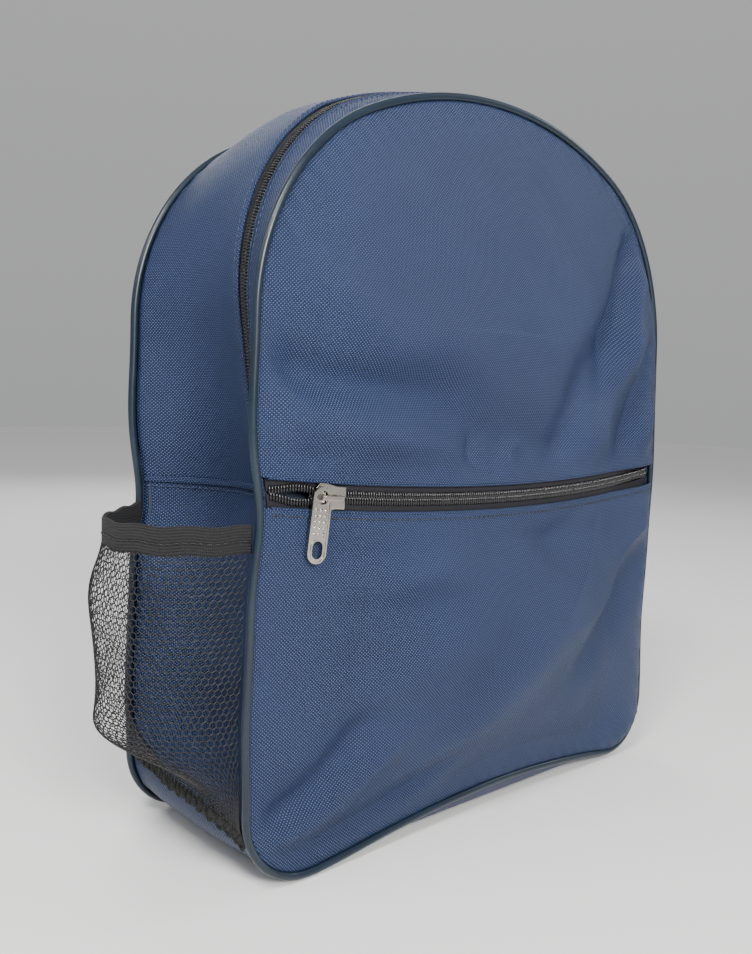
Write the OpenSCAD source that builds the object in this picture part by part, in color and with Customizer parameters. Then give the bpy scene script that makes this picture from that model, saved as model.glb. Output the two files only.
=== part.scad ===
// A small school backpack: an arched bag of navy polyester with piping, a zipped front
// pocket, a zip over the top, a mesh bottle pocket on each side, padded shoulder straps
// and a carrying loop. Every sewn or moulded piece is its own solid.
// X runs to the right as seen from the front, Y from the front to the wearer's back, and
// Z up. The origin is the middle of the base, on the floor.

/* [Body] */
// Width of the bag between its side seams
body_w = 266; // [220:1:320]
// Height of the seams above the floor at the top of the arch
body_h = 326; // [300:1:400]
// Depth between the front and rear seams
body_d = 92; // [84:1:120]
// Radius of the top of the arch
arch_r = 190; // [170:1:240]
// Radius of each shoulder of the arch
shoulder_r = 92; // [70:1:100]
// Radius of the bottom corners
base_r = 30; // [20:1:45]
// How far the front panel is puffed out in the middle
front_crown = 12; // [6:1:18]
// How far the side wall swells at mid depth
side_crown = 5; // [2:0.5:8]
// How far the top wall swells at mid depth
top_crown = 9; // [4:0.5:12]
// How far the side wall is pressed in beside the full bottle pocket
side_dent = 32; // [0:1:34]
// Thickness of a fabric wall with its coating
cloth_t = 1.2; // [0.8:0.1:2]
// Diameter of the piping cord
piping_dia = 3.4; // [2.5:0.1:5]

/* [Front pocket] */
// Height of the pocket zip at the side seams
pocket_zip_z = 158.5; // [140:0.5:175]
// How far the middle of the pocket zip hangs below its ends
pocket_zip_sag = 6.5; // [2:0.5:10]
// Where the pocket slider stands along the width
pocket_slider_x = -101; // [-115:1:90]

/* [Main zip] */
// Distance of the main zip behind the front seam
main_zip_back = 22; // [18:1:30]
// Height at which the zipped top joins the lower side wall
split_z = 156; // [150:1:175]
// Place of the left slider on the arch, in degrees right of the middle
left_slider_turn = 21.5; // [14:0.5:22]
// Place of the right slider on the right shoulder, in degrees above level
right_slider_turn = 60; // [50:1:61]

/* [Bottle pockets] */
// Height of the top of the elastic band
band_top_z = 146; // [130:1:150]
// Height of the elastic band
band_h = 11; // [8:0.5:20]
// Radius that the mesh bends round when a bottle is in it
bottle_r = 34; // [28:1:36]
// How full the left pocket stands, from flat to round
left_fill = 1; // [0.6:0.05:1]
// How full the right pocket stands
right_fill = 0.3; // [0.25:0.05:0.5]

/* [Straps] */
// Width of a shoulder strap at the top
strap_w = 46; // [36:1:56]
// Thickness of a padded strap
strap_t = 8; // [5:0.5:12]
// How far a strap bows away from the back
strap_bow = 34; // [20:1:45]
// Width of the webbing
webbing_w = 20; // [16:1:25]

/* [Hidden] */
$fn = 48;

navy = [0.13, 0.18, 0.33];
navy_vinyl = [0.10, 0.13, 0.20];
black = [0.06, 0.06, 0.07];
silver = [0.78, 0.77, 0.74];

half_w = body_w / 2;
half_d = body_d / 2;
layer_gap = 0.15;           // left between layers that lie on each other
seam_z = 2.6;               // height of the bottom seams over the floor
base_swell = 9;             // how far the bottom would swell if the floor didn't flatten it
shoulder_x = half_w - shoulder_r;
arch_z = body_h - arch_r;
shoulder_z = arch_z + sqrt(pow(arch_r - shoulder_r, 2) - pow(shoulder_x, 2));
join_turn = atan2(shoulder_z - arch_z, shoulder_x);

// ---------------------------------------------------------------- outline
// An outline point is [x, z, outward x, outward z].
function arc(cx, cz, r, from, to, n) = [
    for (i = [1:n]) let (a = from + (to - from) * i / n)
        [cx + r * cos(a), cz + r * sin(a), cos(a), sin(a)]
];
function side(sign, z0, z1, n) = [
    for (i = [1:n]) [sign * half_w, z0 + (z1 - z0) * i / n, sign, 0]
];
function floor_run(n) = let (x = half_w - base_r) [
    for (i = [1:n]) [-x + 2 * x * i / n, seam_z, 0, -1]
];
base_cx = half_w - base_r;
base_cz = seam_z + base_r;
// From the left side over the arch to the right side
upper_run = concat(
    [[-half_w, split_z, -1, 0]],
    side(-1, split_z, shoulder_z, 4),
    arc(-shoulder_x, shoulder_z, shoulder_r, 180, 180 - join_turn, 9),
    arc(0, arch_z, arch_r, 180 - join_turn, join_turn, 10),
    arc(shoulder_x, shoulder_z, shoulder_r, join_turn, 0, 9),
    side(1, shoulder_z, split_z, 4)
);
// From the left side under the bag to the right side
lower_run = concat(
    [[-half_w, split_z, -1, 0]],
    side(-1, split_z, base_cz, 8),
    arc(-base_cx, base_cz, base_r, 180, 270, 7),
    floor_run(8),
    arc(base_cx, base_cz, base_r, 270, 360, 7),
    side(1, base_cz, split_z, 8)
);
// All the way round, without a repeated point
whole_run = concat(
    upper_run,
    [for (i = [len(lower_run) - 2:-1:1]) lower_run[i]]
);

function inset_polygon(run, inset) = [for (p = run) [p[0] - p[2] * inset, p[1] - p[3] * inset]];
// The same, kept inside the side wall where that is pressed in at a depth y
function inner_polygon(y, inset) = [for (p = whole_run)
    let (n = min(0, swell(p) * swell_share(y)) - inset) [p[0] + p[2] * n, p[1] + p[3] * n]];

// ---------------------------------------------------------------- side wall surface
function square(v) = v * v;
function ramp(v, low, high) = let (t = max(0, min(1, (v - low) / (high - low)))) t * t * (3 - 2 * t);
// Share of the swell left at a depth y: none at the seams, all at mid depth
function swell_share(y) = 1 - square(y / half_d);
// The dent reaches from above the bottom corner to the left end of the arch
dent_full_z = 110;
dent_top_z = arch_z + arch_r * sin(join_turn);
function dent_share(p) = p[0] < 0
    ? ramp(p[1], 14, 62) * (1 - square(max(0, min(1, (p[1] - dent_full_z) / (dent_top_z - dent_full_z)))))
    : 0;
function swell(p) = (p[1] > base_cz
    ? side_crown + (top_crown - side_crown) * ramp(p[1], split_z, shoulder_z)
    : side_crown + (base_swell - side_crown) * square(p[3])) - side_dent * dent_share(p);
// A point of the side wall, off outwards from the cloth's outer face
function wall_point(p, y, off) = let (h = swell(p) * swell_share(y) + off)
    [p[0] + p[2] * h, y, max(p[1] + p[3] * h, off < 0 ? -off : 0)];
function wall_grid(run, y0, y1, n, off) = [
    for (p = run) [for (j = [0:n]) wall_point(p, y0 + (y1 - y0) * j / n, off)]
];

// ---------------------------------------------------------------- front surface
// Distance inside the sides and the arch
function edge_distance(x, z) = let (ax = abs(x), turn = atan2(z - arch_z, ax))
    z <= shoulder_z ? half_w - ax
    : atan2(z - shoulder_z, ax - shoulder_x) < join_turn && ax > shoulder_x
        ? shoulder_r - norm([ax - shoulder_x, z - shoulder_z])
    : turn >= join_turn ? min(half_w - ax, arch_r - norm([ax, z - arch_z]))
    : shoulder_r - norm([ax - shoulder_x, z - shoulder_z]);
function puff(d, reach) = 1 - square(1 - max(0, min(1, d / reach)));
function front_y(x, z) = -half_d
    - front_crown * puff(edge_distance(x, z), half_w) * puff(z - seam_z, 110);
function zip_z(x) = pocket_zip_z - pocket_zip_sag * (1 - square(x / half_w));
function top_z(x, inset) = let (ax = abs(x), r = shoulder_r - inset)
    ax > shoulder_x + r * cos(join_turn) ? shoulder_z + sqrt(max(0, r * r - square(ax - shoulder_x)))
    : arch_z + sqrt(square(arch_r - inset) - ax * ax);
function bottom_z(x, inset) = let (ax = abs(x), r = base_r - inset)
    ax > base_cx ? base_cz - sqrt(max(0, r * r - square(ax - base_cx))) : seam_z + inset;

// ---------------------------------------------------------------- solids from grids
// A closed solid between two grids of points with the same rows and columns
module shell(outer, inner) {
    rows = len(outer);
    cols = len(outer[0]);
    count = rows * cols;
    points = concat([for (r = outer) each r], [for (r = inner) each r]);
    skin = [for (i = [0:rows - 2], j = [0:cols - 2]) each let (a = i * cols + j)
        [[a, a + 1, a + cols + 1], [a, a + cols + 1, a + cols]]];
    rim = concat(
        [for (j = [0:cols - 2]) [j, j + 1]],
        [for (i = [0:rows - 2]) [(i + 1) * cols - 1, (i + 2) * cols - 1]],
        [for (j = [cols - 2:-1:0]) let (a = (rows - 1) * cols + j) [a + 1, a]],
        [for (i = [rows - 2:-1:0]) [(i + 1) * cols, i * cols]]
    );
    polyhedron(points, concat(
        skin,
        [for (f = skin) [f[2] + count, f[1] + count, f[0] + count]],
        [for (e = rim) each [[e[1], e[0], e[0] + count], [e[1], e[0] + count, e[1] + count]]]
    ));
}

// A closed ring: each row of the grid is a closed section, and the last row meets the first
module ring(grid) {
    rows = len(grid);
    cols = len(grid[0]);
    polyhedron([for (r = grid) each r], [
        for (i = [0:rows - 1], j = [0:cols - 1]) each let (
            i2 = (i + 1) % rows, j2 = (j + 1) % cols,
            a = i * cols + j, b = i * cols + j2, c = i2 * cols + j2, d = i2 * cols + j)
            [[a, b, c], [a, c, d]]
    ]);
}

// A solid along a path: each row is a closed section, and both ends are capped
module bar(grid) {
    rows = len(grid);
    cols = len(grid[0]);
    polyhedron([for (r = grid) each r], concat(
        [for (i = [0:rows - 2], j = [0:cols - 1]) each let (
            j2 = (j + 1) % cols, a = i * cols + j, b = i * cols + j2)
            [[a, b, b + cols], [a, b + cols, a + cols]]],
        [[for (j = [cols - 1:-1:0]) j], [for (j = [0:cols - 1]) (rows - 1) * cols + j]]
    ));
}

// ---------------------------------------------------------------- shell of the bag
panel_inset = piping_dia / 2 + 0.3;
panel_steps = 18;
zip_gap = 6.3;      // from the middle of a zip to the cloth's folded edge

function panel_x(i) = (half_w - panel_inset) * sin(-90 + 180 * i / panel_steps) * 0.998;

module front_upper_panel() color(navy) {
    grid = [for (i = [0:panel_steps]) let (x = panel_x(i), low = zip_z(x) + zip_gap,
            high = top_z(x, panel_inset)) [for (j = [0:8]) let (z = low + (high - low) * j / 8)
        [x, front_y(x, z), z]]];
    shell([for (r = grid) [for (p = r) p + [0, cloth_t, 0]]], grid);
}

module front_pocket_panel() color(navy) {
    grid = [for (i = [0:panel_steps]) let (x = panel_x(i), high = zip_z(x) - zip_gap,
            low = bottom_z(x, panel_inset)) [for (j = [0:7]) let (z = low + (high - low) * j / 7)
        [x, front_y(x, z), z]]];
    shell([for (r = grid) [for (p = r) p + [0, cloth_t, 0]]], grid);
}

// The flat wall that parts the front pocket from the main compartment
module pocket_inner_wall() color(navy)
    translate([0, -half_d + 4.2, 0]) rotate([90, 0, 0]) linear_extrude(0.8) intersection() {
        polygon(inner_polygon(-half_d + 5, 2.4));
        translate([-half_w, 0]) square([body_w, pocket_zip_z + 20]);
    }

strip_front_edge = -half_d + piping_dia / 2 + layer_gap;
zip_y = -half_d + main_zip_back;

module gusset_front_strip() color(navy)
    shell(wall_grid(upper_run, zip_y - zip_gap, strip_front_edge, 2, 0),
          wall_grid(upper_run, zip_y - zip_gap, strip_front_edge, 2, -cloth_t));

module gusset_rear_strip() color(navy)
    shell(wall_grid(upper_run, half_d - piping_dia / 2 - layer_gap, zip_y + zip_gap, 5, 0),
          wall_grid(upper_run, half_d - piping_dia / 2 - layer_gap, zip_y + zip_gap, 5, -cloth_t));

module lower_gusset() color(navy) {
    run = [for (i = [0:len(lower_run) - 1]) let (p = lower_run[i])
        i == 0 || i == len(lower_run) - 1 ? [p[0], p[1] - layer_gap, p[2], p[3]] : p];
    shell(wall_grid(run, strip_front_edge, -strip_front_edge, 8, 0),
          wall_grid(run, strip_front_edge, -strip_front_edge, 8, -cloth_t));
}

module back_layer(y, thick, inset)
    translate([0, y + thick, 0]) rotate([90, 0, 0]) linear_extrude(thick)
        polygon(inset_polygon(whole_run, inset));

back_y = half_d + 6;        // outer face of the back panel
foam_t = 4.6;
module back_panel_fabric() color(navy) back_layer(back_y - 0.9, 0.9, 2.2);
module back_foam() color("white") back_layer(back_y - 1 - foam_t, foam_t, 4);
module back_lining() color(navy) back_layer(back_y - 1.1 - foam_t - 0.7, 0.7, 2.6);

module piping(y) color(navy_vinyl) {
    r = piping_dia / 2;
    ring([for (p = whole_run) [for (k = [0:7]) let (a = -k * 45)
        [p[0] + p[2] * (0.4 + r * cos(a)), y + r * sin(a), p[1] + p[3] * (0.4 + r * cos(a))]]]);
}
module piping_front() piping(-half_d);
module piping_rear() piping(half_d);

// The bound seam allowance that stands inwards from a seam
binding_t = 1.4;
module seam_binding(y, deep_y) color(black)
    translate([0, y + binding_t, 0]) rotate([90, 0, 0]) linear_extrude(binding_t) difference() {
        polygon(inner_polygon(deep_y, 2.4));
        polygon(inner_polygon(deep_y, 11));
    }
module seam_binding_front()
    seam_binding(-half_d + cloth_t + 0.6, -half_d + cloth_t + 0.6 + binding_t);
module seam_binding_rear() seam_binding(half_d - 3.4, half_d - 3.4);

// ---------------------------------------------------------------- zips
tape_t = 0.6;
tape_w = 11;
coil_gap = 0.9;     // from the middle to each coil, which leaves a slot for the slider's post
coil_w = 2.2;
coil_t = 1.1;
tape_in = cloth_t + layer_gap;

// Rows along the pocket zip, between two heights above its middle, off behind the cloth
function pocket_zip_rows(x0, x1, n, low, high, off) = [
    for (i = [0:n]) let (x = x0 + (x1 - x0) * i / n)
        [for (dz = [low, high]) [x, front_y(x, zip_z(x)) + off, zip_z(x) + dz]]
];
pocket_zip_end = half_w - 6;
module pocket_zip_tape(low, high) color(black)
    shell(pocket_zip_rows(-pocket_zip_end, pocket_zip_end, 20, low, high, tape_in + tape_t),
          pocket_zip_rows(-pocket_zip_end, pocket_zip_end, 20, low, high, tape_in));
module pocket_zip_tape_upper() pocket_zip_tape(coil_gap, tape_w);
module pocket_zip_tape_lower() pocket_zip_tape(-tape_w, -coil_gap);

// One coil of the pocket zip, which covers the heights from low to low + coil_w
module pocket_zip_coil(low) color(black) {
    steps = 24;
    bar([for (i = [0:steps]) let (x = -pocket_zip_end + 2 + (2 * pocket_zip_end - 4) * i / steps,
            y = front_y(x, zip_z(x)) + tape_in - layer_gap / 2, z = zip_z(x) + low)
        [for (c = [[0, 0], [0, 0.7], [0.3, 1], [0.7, 1], [1, 0.7], [1, 0]])
            [x, y - c[1] * coil_t, z + c[0] * coil_w]]]);
}
module pocket_zip_coil_upper() pocket_zip_coil(coil_gap);
module pocket_zip_coil_lower() pocket_zip_coil(-coil_gap - coil_w);

// A zip slider: X along the zip with its wide nose towards -X, Y across, Z outwards, with
// the origin in the middle of the tape
slider_l = 13.6;
slider_w = 11;
plate_z = 1.9;
plate_t = 1;
bridge_x = 4.4;
bridge_gap = 2.2;
bridge_top = plate_z + plate_t + bridge_gap;
pull_z = plate_z + plate_t + bridge_gap / 2;

module slider_outline()
    polygon([
        [-slider_l / 2 + 1.6, -slider_w / 2], [-slider_l / 2 + 4.5, -slider_w / 2],
        [slider_l / 2 - 4, -slider_w * 0.4], [slider_l / 2, -slider_w * 0.4],
        [slider_l / 2, slider_w * 0.4], [slider_l / 2 - 4, slider_w * 0.4],
        [-slider_l / 2 + 4.5, slider_w / 2], [-slider_l / 2 + 1.6, slider_w / 2],
        [-slider_l / 2, slider_w * 0.3], [-slider_l / 2, -slider_w * 0.3]
    ]);

module slider() color(silver) {
    for (z = [-plate_z - plate_t, plate_z]) translate([0, 0, z])
        linear_extrude(plate_t) slider_outline();
    // Flanges that hold the two rows together, with a slit for the tape
    for (range = [[-plate_z, -1.15], [0.65, plate_z]]) translate([0, 0, range[0]])
        linear_extrude(range[1] - range[0]) difference() {
            slider_outline();
            square([slider_l + 1, slider_w * 0.8 - 1.7], center = true);
            translate([-slider_l, -slider_w * 0.36]) square([slider_l + 1, slider_w * 0.72]);
        }
    // The post that parts the two rows
    translate([-slider_l / 2 + 0.4, -0.55, -plate_z]) cube([1.5, 1.1, 2 * plate_z]);
    // The bridge that the pull hangs from
    for (x = [-bridge_x, bridge_x]) translate([x - 0.8, -0.9, plate_z + plate_t])
        cube([1.6, 1.8, bridge_gap]);
    translate([0, 0.9, 0]) rotate([90, 0, 0]) linear_extrude(1.8) polygon([
        [-bridge_x - 0.8, bridge_top], [bridge_x + 0.8, bridge_top],
        [bridge_x + 0.8, bridge_top + 0.5], [bridge_x - 0.6, bridge_top + 1.2],
        [-bridge_x + 0.6, bridge_top + 1.2], [-bridge_x - 0.8, bridge_top + 0.5]
    ]);
}

pull_l = 30;
pull_w = 8.4;
pull_t = 1.3;
ring_hole = 2.75;

module pull_outline(inset) {
    r = pull_w / 2 - inset;
    circle(r);
    translate([0, -r]) square([pull_l - pull_w, 2 * r]);
    translate([pull_l - pull_w, 0]) circle(r);
}
module end_hole(grow) slot(pull_l - pull_w - 2.4, pull_l - pull_w, 2.3 + grow);
module slot(x0, x1, r) {
    translate([x0, 0]) circle(r);
    translate([x0, -r]) square([x1 - x0, 2 * r]);
    translate([x1, 0]) circle(r);
}
// A pull tab that lies along +X, with the middle of its ring at the origin
module pull() color(silver) {
    translate([0, 0, -pull_t / 2]) linear_extrude(pull_t - 0.3) difference() {
        pull_outline(0);
        circle(ring_hole);
        end_hole(0);
    }
    // Raised rim round the outline, and round the end hole
    translate([0, 0, pull_t / 2 - 0.3]) linear_extrude(0.3) difference() {
        pull_outline(0);
        difference() {
            pull_outline(0.7);
            circle(ring_hole + 1.1);
            end_hole(0.6);
        }
        circle(ring_hole);
        end_hole(0);
    }
    // Grip studs
    for (i = [0:4], j = [-1:1]) translate([5.1 + i * 2.3, j * 2.1, pull_t / 2 - 0.3])
        cylinder(h = 0.45, r1 = 0.75, r2 = 0.3, $fn = 16);
}

// Places what is built at a point of the pocket zip's chain, along the arc that it follows
zip_sagitta = norm([front_crown, pocket_zip_sag]);
zip_arc_r = (square(half_w) + square(zip_sagitta)) / (2 * zip_sagitta);
zip_axis = [0, pocket_zip_sag, -front_crown] / zip_sagitta;
zip_mid = [0, front_y(0, zip_z(0)) + tape_in + tape_t / 2, zip_z(0)];
zip_centre = zip_mid + [0, front_crown, pocket_zip_sag] * zip_arc_r / zip_sagitta;
module on_pocket_zip(x)
    translate(zip_centre) rotate(a = -asin(x / zip_arc_r), v = zip_axis)
        translate(zip_mid - zip_centre) rotate([90, 0, 0]) children();

module pocket_zip_slider() on_pocket_zip(pocket_slider_x) slider();
// The pull hangs round the bridge's front leg
module pocket_zip_pull() on_pocket_zip(pocket_slider_x) translate([-bridge_x, 0, pull_z])
    rotate([0, 0, -92]) pull();

module main_zip_tape(y0, y1) color(black)
    shell(wall_grid(upper_run, y1, y0, 1, -tape_in), wall_grid(upper_run, y1, y0, 1, -tape_in - tape_t));
module main_zip_tape_front() main_zip_tape(zip_y - tape_w, zip_y - coil_gap);
module main_zip_tape_rear() main_zip_tape(zip_y + coil_gap, zip_y + tape_w);

module main_zip_coil(y0, y1) color(black)
    bar([for (i = [1:len(upper_run) - 2]) let (p = upper_run[i], off = -tape_in + layer_gap)
        [wall_point(p, y0, off), wall_point(p, y0, off + 0.8 * coil_t),
         wall_point(p, (y0 + y1) / 2, off + coil_t), wall_point(p, y1, off + 0.8 * coil_t),
         wall_point(p, y1, off)]]);
module main_zip_coil_front() main_zip_coil(zip_y - coil_gap - coil_w, zip_y - coil_gap);
module main_zip_coil_rear() main_zip_coil(zip_y + coil_gap, zip_y + coil_gap + coil_w);

// Folded cloth tabs over the two ends of the main zip
module main_zip_end_patches() color(navy) for (sign = [-1, 1]) {
    run = [for (i = [0:2]) [sign * half_w, split_z + 0.3 + 9 * i / 2, sign, 0]];
    y0 = zip_y - zip_gap + layer_gap;
    y1 = zip_y + zip_gap - layer_gap;
    if (sign < 0) shell(wall_grid(run, y1, y0, 2, 1.2), wall_grid(run, y1, y0, 2, 0.75));
    else shell(wall_grid(run, y0, y1, 2, 1.2), wall_grid(run, y0, y1, 2, 0.75));
}

// Places a slider on the main zip, leaning with the wall: on the arch, or on the right shoulder
chain_lean = atan(-2 * top_crown * zip_y / (half_d * half_d));
chain_drop = top_crown * swell_share(zip_y) - tape_in - tape_t / 2;
module on_arch(turn)
    translate([0, zip_y, arch_z]) rotate([0, turn, 0]) translate([0, 0, arch_r + chain_drop])
        rotate([chain_lean, 0, 0]) children();
module on_shoulder(turn)
    translate([shoulder_x, zip_y, shoulder_z]) rotate([0, 90 - turn, 0])
        translate([0, 0, shoulder_r + chain_drop]) rotate([chain_lean, 0, 0]) children();

main_ring_reach = ring_hole + 0.72;
module main_zip_slider_left() on_arch(left_slider_turn) rotate([0, 0, 180]) slider();
module main_zip_pull_left() on_arch(left_slider_turn)
    translate([0, 0, pull_z]) rotate([0, 0, 180]) translate([main_ring_reach, 0, 0]) pull();
module main_zip_slider_right() on_shoulder(right_slider_turn) slider();
module main_zip_pull_right() on_shoulder(right_slider_turn)
    translate([0, 0, pull_z]) translate([main_ring_reach, 0, 0]) pull();

// ---------------------------------------------------------------- bottle pockets
// Plan of a full pocket as [out from the side, y]: straight from the front seam to a bottle,
// round it, and straight to the rear seam
pocket_seam_y = half_d - 1.6 - piping_dia / 2;
bottle_at = [1.5, -half_d + 3.6 + bottle_r];
function touch_turn(from, sign) = let (v = from - bottle_at)
    atan2(v[1], v[0]) + sign * acos(bottle_r / norm(v));
front_touch = touch_turn([0, -pocket_seam_y], 1);
rear_touch = touch_turn([0, pocket_seam_y], -1);
rear_touch_at = bottle_at + bottle_r * [cos(rear_touch), sin(rear_touch)];
pocket_plan = concat(
    [[0, -pocket_seam_y]],
    [for (i = [0:10]) let (a = front_touch + (rear_touch - front_touch) * i / 10)
        bottle_at + bottle_r * [cos(a), sin(a)]],
    [for (i = [1:4]) rear_touch_at + ([0, pocket_seam_y] - rear_touch_at) * i / 4]
);
pocket_low_z = 18;
mesh_t = 0.9;
function pocket_fill(z) = 0.05 + 0.95 * ramp(z, pocket_low_z + 9, 72);
function pocket_point(q, z, fill, off, dented) = let (
    p = [-half_w, z, -1, 0],
    corner = z < base_cz ? base_r - sqrt(max(0, base_r * base_r - square(base_cz - z))) : 0,
    bulge = (side_crown - side_dent * (dented ? dent_share(p) : 0)) * swell_share(q[1]),
    out = max(bulge, side_crown * swell_share(q[1]) * 0.6) + off + q[0] * fill * pocket_fill(z)
) [-half_w + corner * (1 - pocket_fill(z)) - out, q[1], z];
function pocket_grid(z0, z1, n, fill, off, dented) = [
    for (i = [0:n]) [for (q = pocket_plan) pocket_point(q, z0 + (z1 - z0) * i / n, fill, off, dented)]
];
module pocket_part(z0, z1, n, fill, off, thick)
    shell(pocket_grid(z0, z1, n, fill, off + thick, fill > 0.5),
          pocket_grid(z0, z1, n, fill, off, fill > 0.5));

band_low_z = band_top_z - band_h;
module mesh_pocket(fill) color(black) pocket_part(pocket_low_z + 5, band_low_z - 0.1, 10, fill, 0.8, mesh_t);
module elastic_band(fill) color(black) pocket_part(band_low_z, band_top_z, 2, fill, 0.5, 1.7);
module mesh_hem(fill) color(black) pocket_part(pocket_low_z, pocket_low_z + 4.9, 1, fill, 0.6, 1.4);
module right_side() mirror([1, 0, 0]) children();

module mesh_pocket_left() mesh_pocket(left_fill);
module mesh_pocket_right() right_side() mesh_pocket(right_fill);
module elastic_band_left() elastic_band(left_fill);
module elastic_band_right() right_side() elastic_band(right_fill);
module mesh_hem_left() mesh_hem(left_fill);
module mesh_hem_right() right_side() mesh_hem(right_fill);

// ---------------------------------------------------------------- back fittings
yoke_z = 276;
yoke_h = 34;
yoke_w = 142;
module strap_yoke_patch() color(navy)
    translate([-yoke_w / 2, back_y + layer_gap, yoke_z]) cube([yoke_w, 0.6, yoke_h]);

loop_z = arch_z + arch_r - 9;
loop_y = back_y + 2.1;
loop_half = 40;
loop_drop = 42;
loop_t = 1.8;
// The carrying loop hangs down as a U of webbing, with a cord sewn in across the top of
// each leg
module haul_loop() color(black) {
    leg_x = loop_half - webbing_w;
    turn_z = webbing_w - loop_drop;
    translate([0, loop_y + loop_t / 2, loop_z]) rotate([90, 0, 0]) linear_extrude(loop_t) {
        for (x = [-loop_half, leg_x]) translate([x, turn_z]) square([webbing_w, -turn_z]);
        translate([-leg_x, -loop_drop]) square([2 * leg_x, webbing_w]);
        for (s = [-1, 1]) intersection() {
            translate([s * leg_x, turn_z]) circle(webbing_w);
            translate([s > 0 ? leg_x : -loop_half, -loop_drop]) square(webbing_w);
        }
    }
    for (x = [-loop_half, leg_x]) translate([x, loop_y, loop_z])
        rotate([0, 90, 0]) cylinder(h = webbing_w, r = 1.3);
}

// A shoulder strap's middle line, from its top seam to its lower end
strap_top = [42, back_y + 7, yoke_z - 9];
strap_end = [86, back_y + 10, 92];
function strap_line(t) = [
    strap_top[0] + (strap_end[0] - strap_top[0]) * pow(t, 1.5),
    strap_top[1] + (strap_end[1] - strap_top[1]) * t + strap_bow * sin(180 * t),
    strap_top[2] + (strap_end[2] - strap_top[2]) * t
];
function unit(v) = v / norm(v);
function strap_out(t) = let (d = unit(strap_line(t + 0.01) - strap_line(max(0, t - 0.01))))
    unit(cross([1, 0, 0], d)) * -1;
function strap_half(t) = strap_w / 2 - 3 * t - 9 * square(ramp(t, 0.86, 1));
// Sections of a band that lies on the strap's line, off outwards from its middle
function strap_section(t, half, off, thick, edge) = let (m = strap_line(t), n = strap_out(t)) [
    for (c = [[-1, 0], [-edge, -0.5], [edge, -0.5], [1, 0], [edge, 0.5], [-edge, 0.5]])
        m + [c[0] * half, 0, 0] + n * (off + c[1] * thick)
];
module strap_pad() color(navy) bar([for (i = [0:18]) let (t = i / 18)
    strap_section(t, strap_half(t), 0, strap_t * (1 - 0.35 * ramp(t, 0.85, 1)), 0.88)]);
module strap_webbing() color(black) bar([for (i = [0:10]) let (t = 0.5 + 0.5 * i / 10)
    strap_section(t, webbing_w / 2, strap_t / 2 + 0.8 + 0.15, 1.4, 0.98)]);

// A ladder lock: Z up the strap, Y outwards, with its top bar on the X axis
lock_w = 27;
lock_h = 24;
lock_at = strap_end + [3, 4.2, -6.2];
module ladder_lock() color(black) {
    for (s = [-1, 1]) translate([s * (lock_w / 2 - 1.5) - 1.5, -2, -lock_h + 3]) cube([3, 4, lock_h - 3 + 2]);
    rotate([0, 90, 0]) cylinder(h = lock_w - 4, r = 1.6, center = true);
    translate([-lock_w / 2 + 2, -1.2, -11.6]) cube([lock_w - 4, 2.4, 3]);
    translate([-lock_w / 2 + 2, -1.8, -lock_h + 3]) cube([lock_w - 4, 3.6, 3.2]);
    translate([-lock_w / 2, -1.5, -lock_h]) cube([lock_w, 3, 3.2]);
}

// The loop of webbing that holds the lock's top bar
module strap_loop() color(black) rotate([0, 90, 0]) difference() {
    cylinder(h = webbing_w, r = 3, center = true);
    cylinder(h = webbing_w + 1, r = 1.65, center = true);
}

// Webbing from the lock down to the bottom corner, and its loose end
anchor_at = [half_w - 16, back_y + 1.6, 26];
function lower_line(t) = let (from = lock_at + [0, -4.4, -11])
    from + (anchor_at - from) * t + [0, 1.5 * sin(180 * t), 0];
module web_band(line, thick, n, half) color(black) bar([for (i = [0:n]) let (
        t = i / n, m = line(t), d = unit(line(min(1, t + 0.02)) - line(max(0, t - 0.02))),
        side_way = unit(cross(d, [0, 1, 0])) * -1, out = unit(cross(d, side_way)) * 1)
    [for (c = [[-1, -0.5], [1, -0.5], [1, 0.5], [-1, 0.5]])
        m + side_way * half * c[0] + out * thick * c[1]]]);
module lower_webbing() web_band(function (t) lower_line(t), 1.4, 8, webbing_w / 2);
tail_l = 62;
function tail_line(t) = lock_at + [0, 3.2, -14] + [6 * t, 9 * t * t - 4 * t, -tail_l * t];
module strap_tail() web_band(function (t) tail_line(t), 1.4, 8, webbing_w / 2);

module strap_anchor() color(navy)
    translate([0, back_y + layer_gap + 0.5, 0]) rotate([90, 0, 0]) linear_extrude(0.5) polygon([
        [half_w - 6, 26], [half_w - 6, 58], [half_w - 32, 46], [half_w - 46, 8], [half_w - 24, 8]
    ]);

module left_side() mirror([1, 0, 0]) children();
module strap_pad_left() left_side() strap_pad();
module strap_pad_right() strap_pad();
module strap_webbing_left() left_side() strap_webbing();
module strap_webbing_right() strap_webbing();
module strap_loop_left() left_side() translate(lock_at) strap_loop();
module strap_loop_right() translate(lock_at) strap_loop();
module ladder_lock_left() left_side() translate(lock_at) ladder_lock();
module ladder_lock_right() translate(lock_at) ladder_lock();
module lower_webbing_left() left_side() lower_webbing();
module lower_webbing_right() lower_webbing();
module strap_tail_left() left_side() strap_tail();
module strap_tail_right() strap_tail();
module strap_anchor_left() left_side() strap_anchor();
module strap_anchor_right() strap_anchor();

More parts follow.
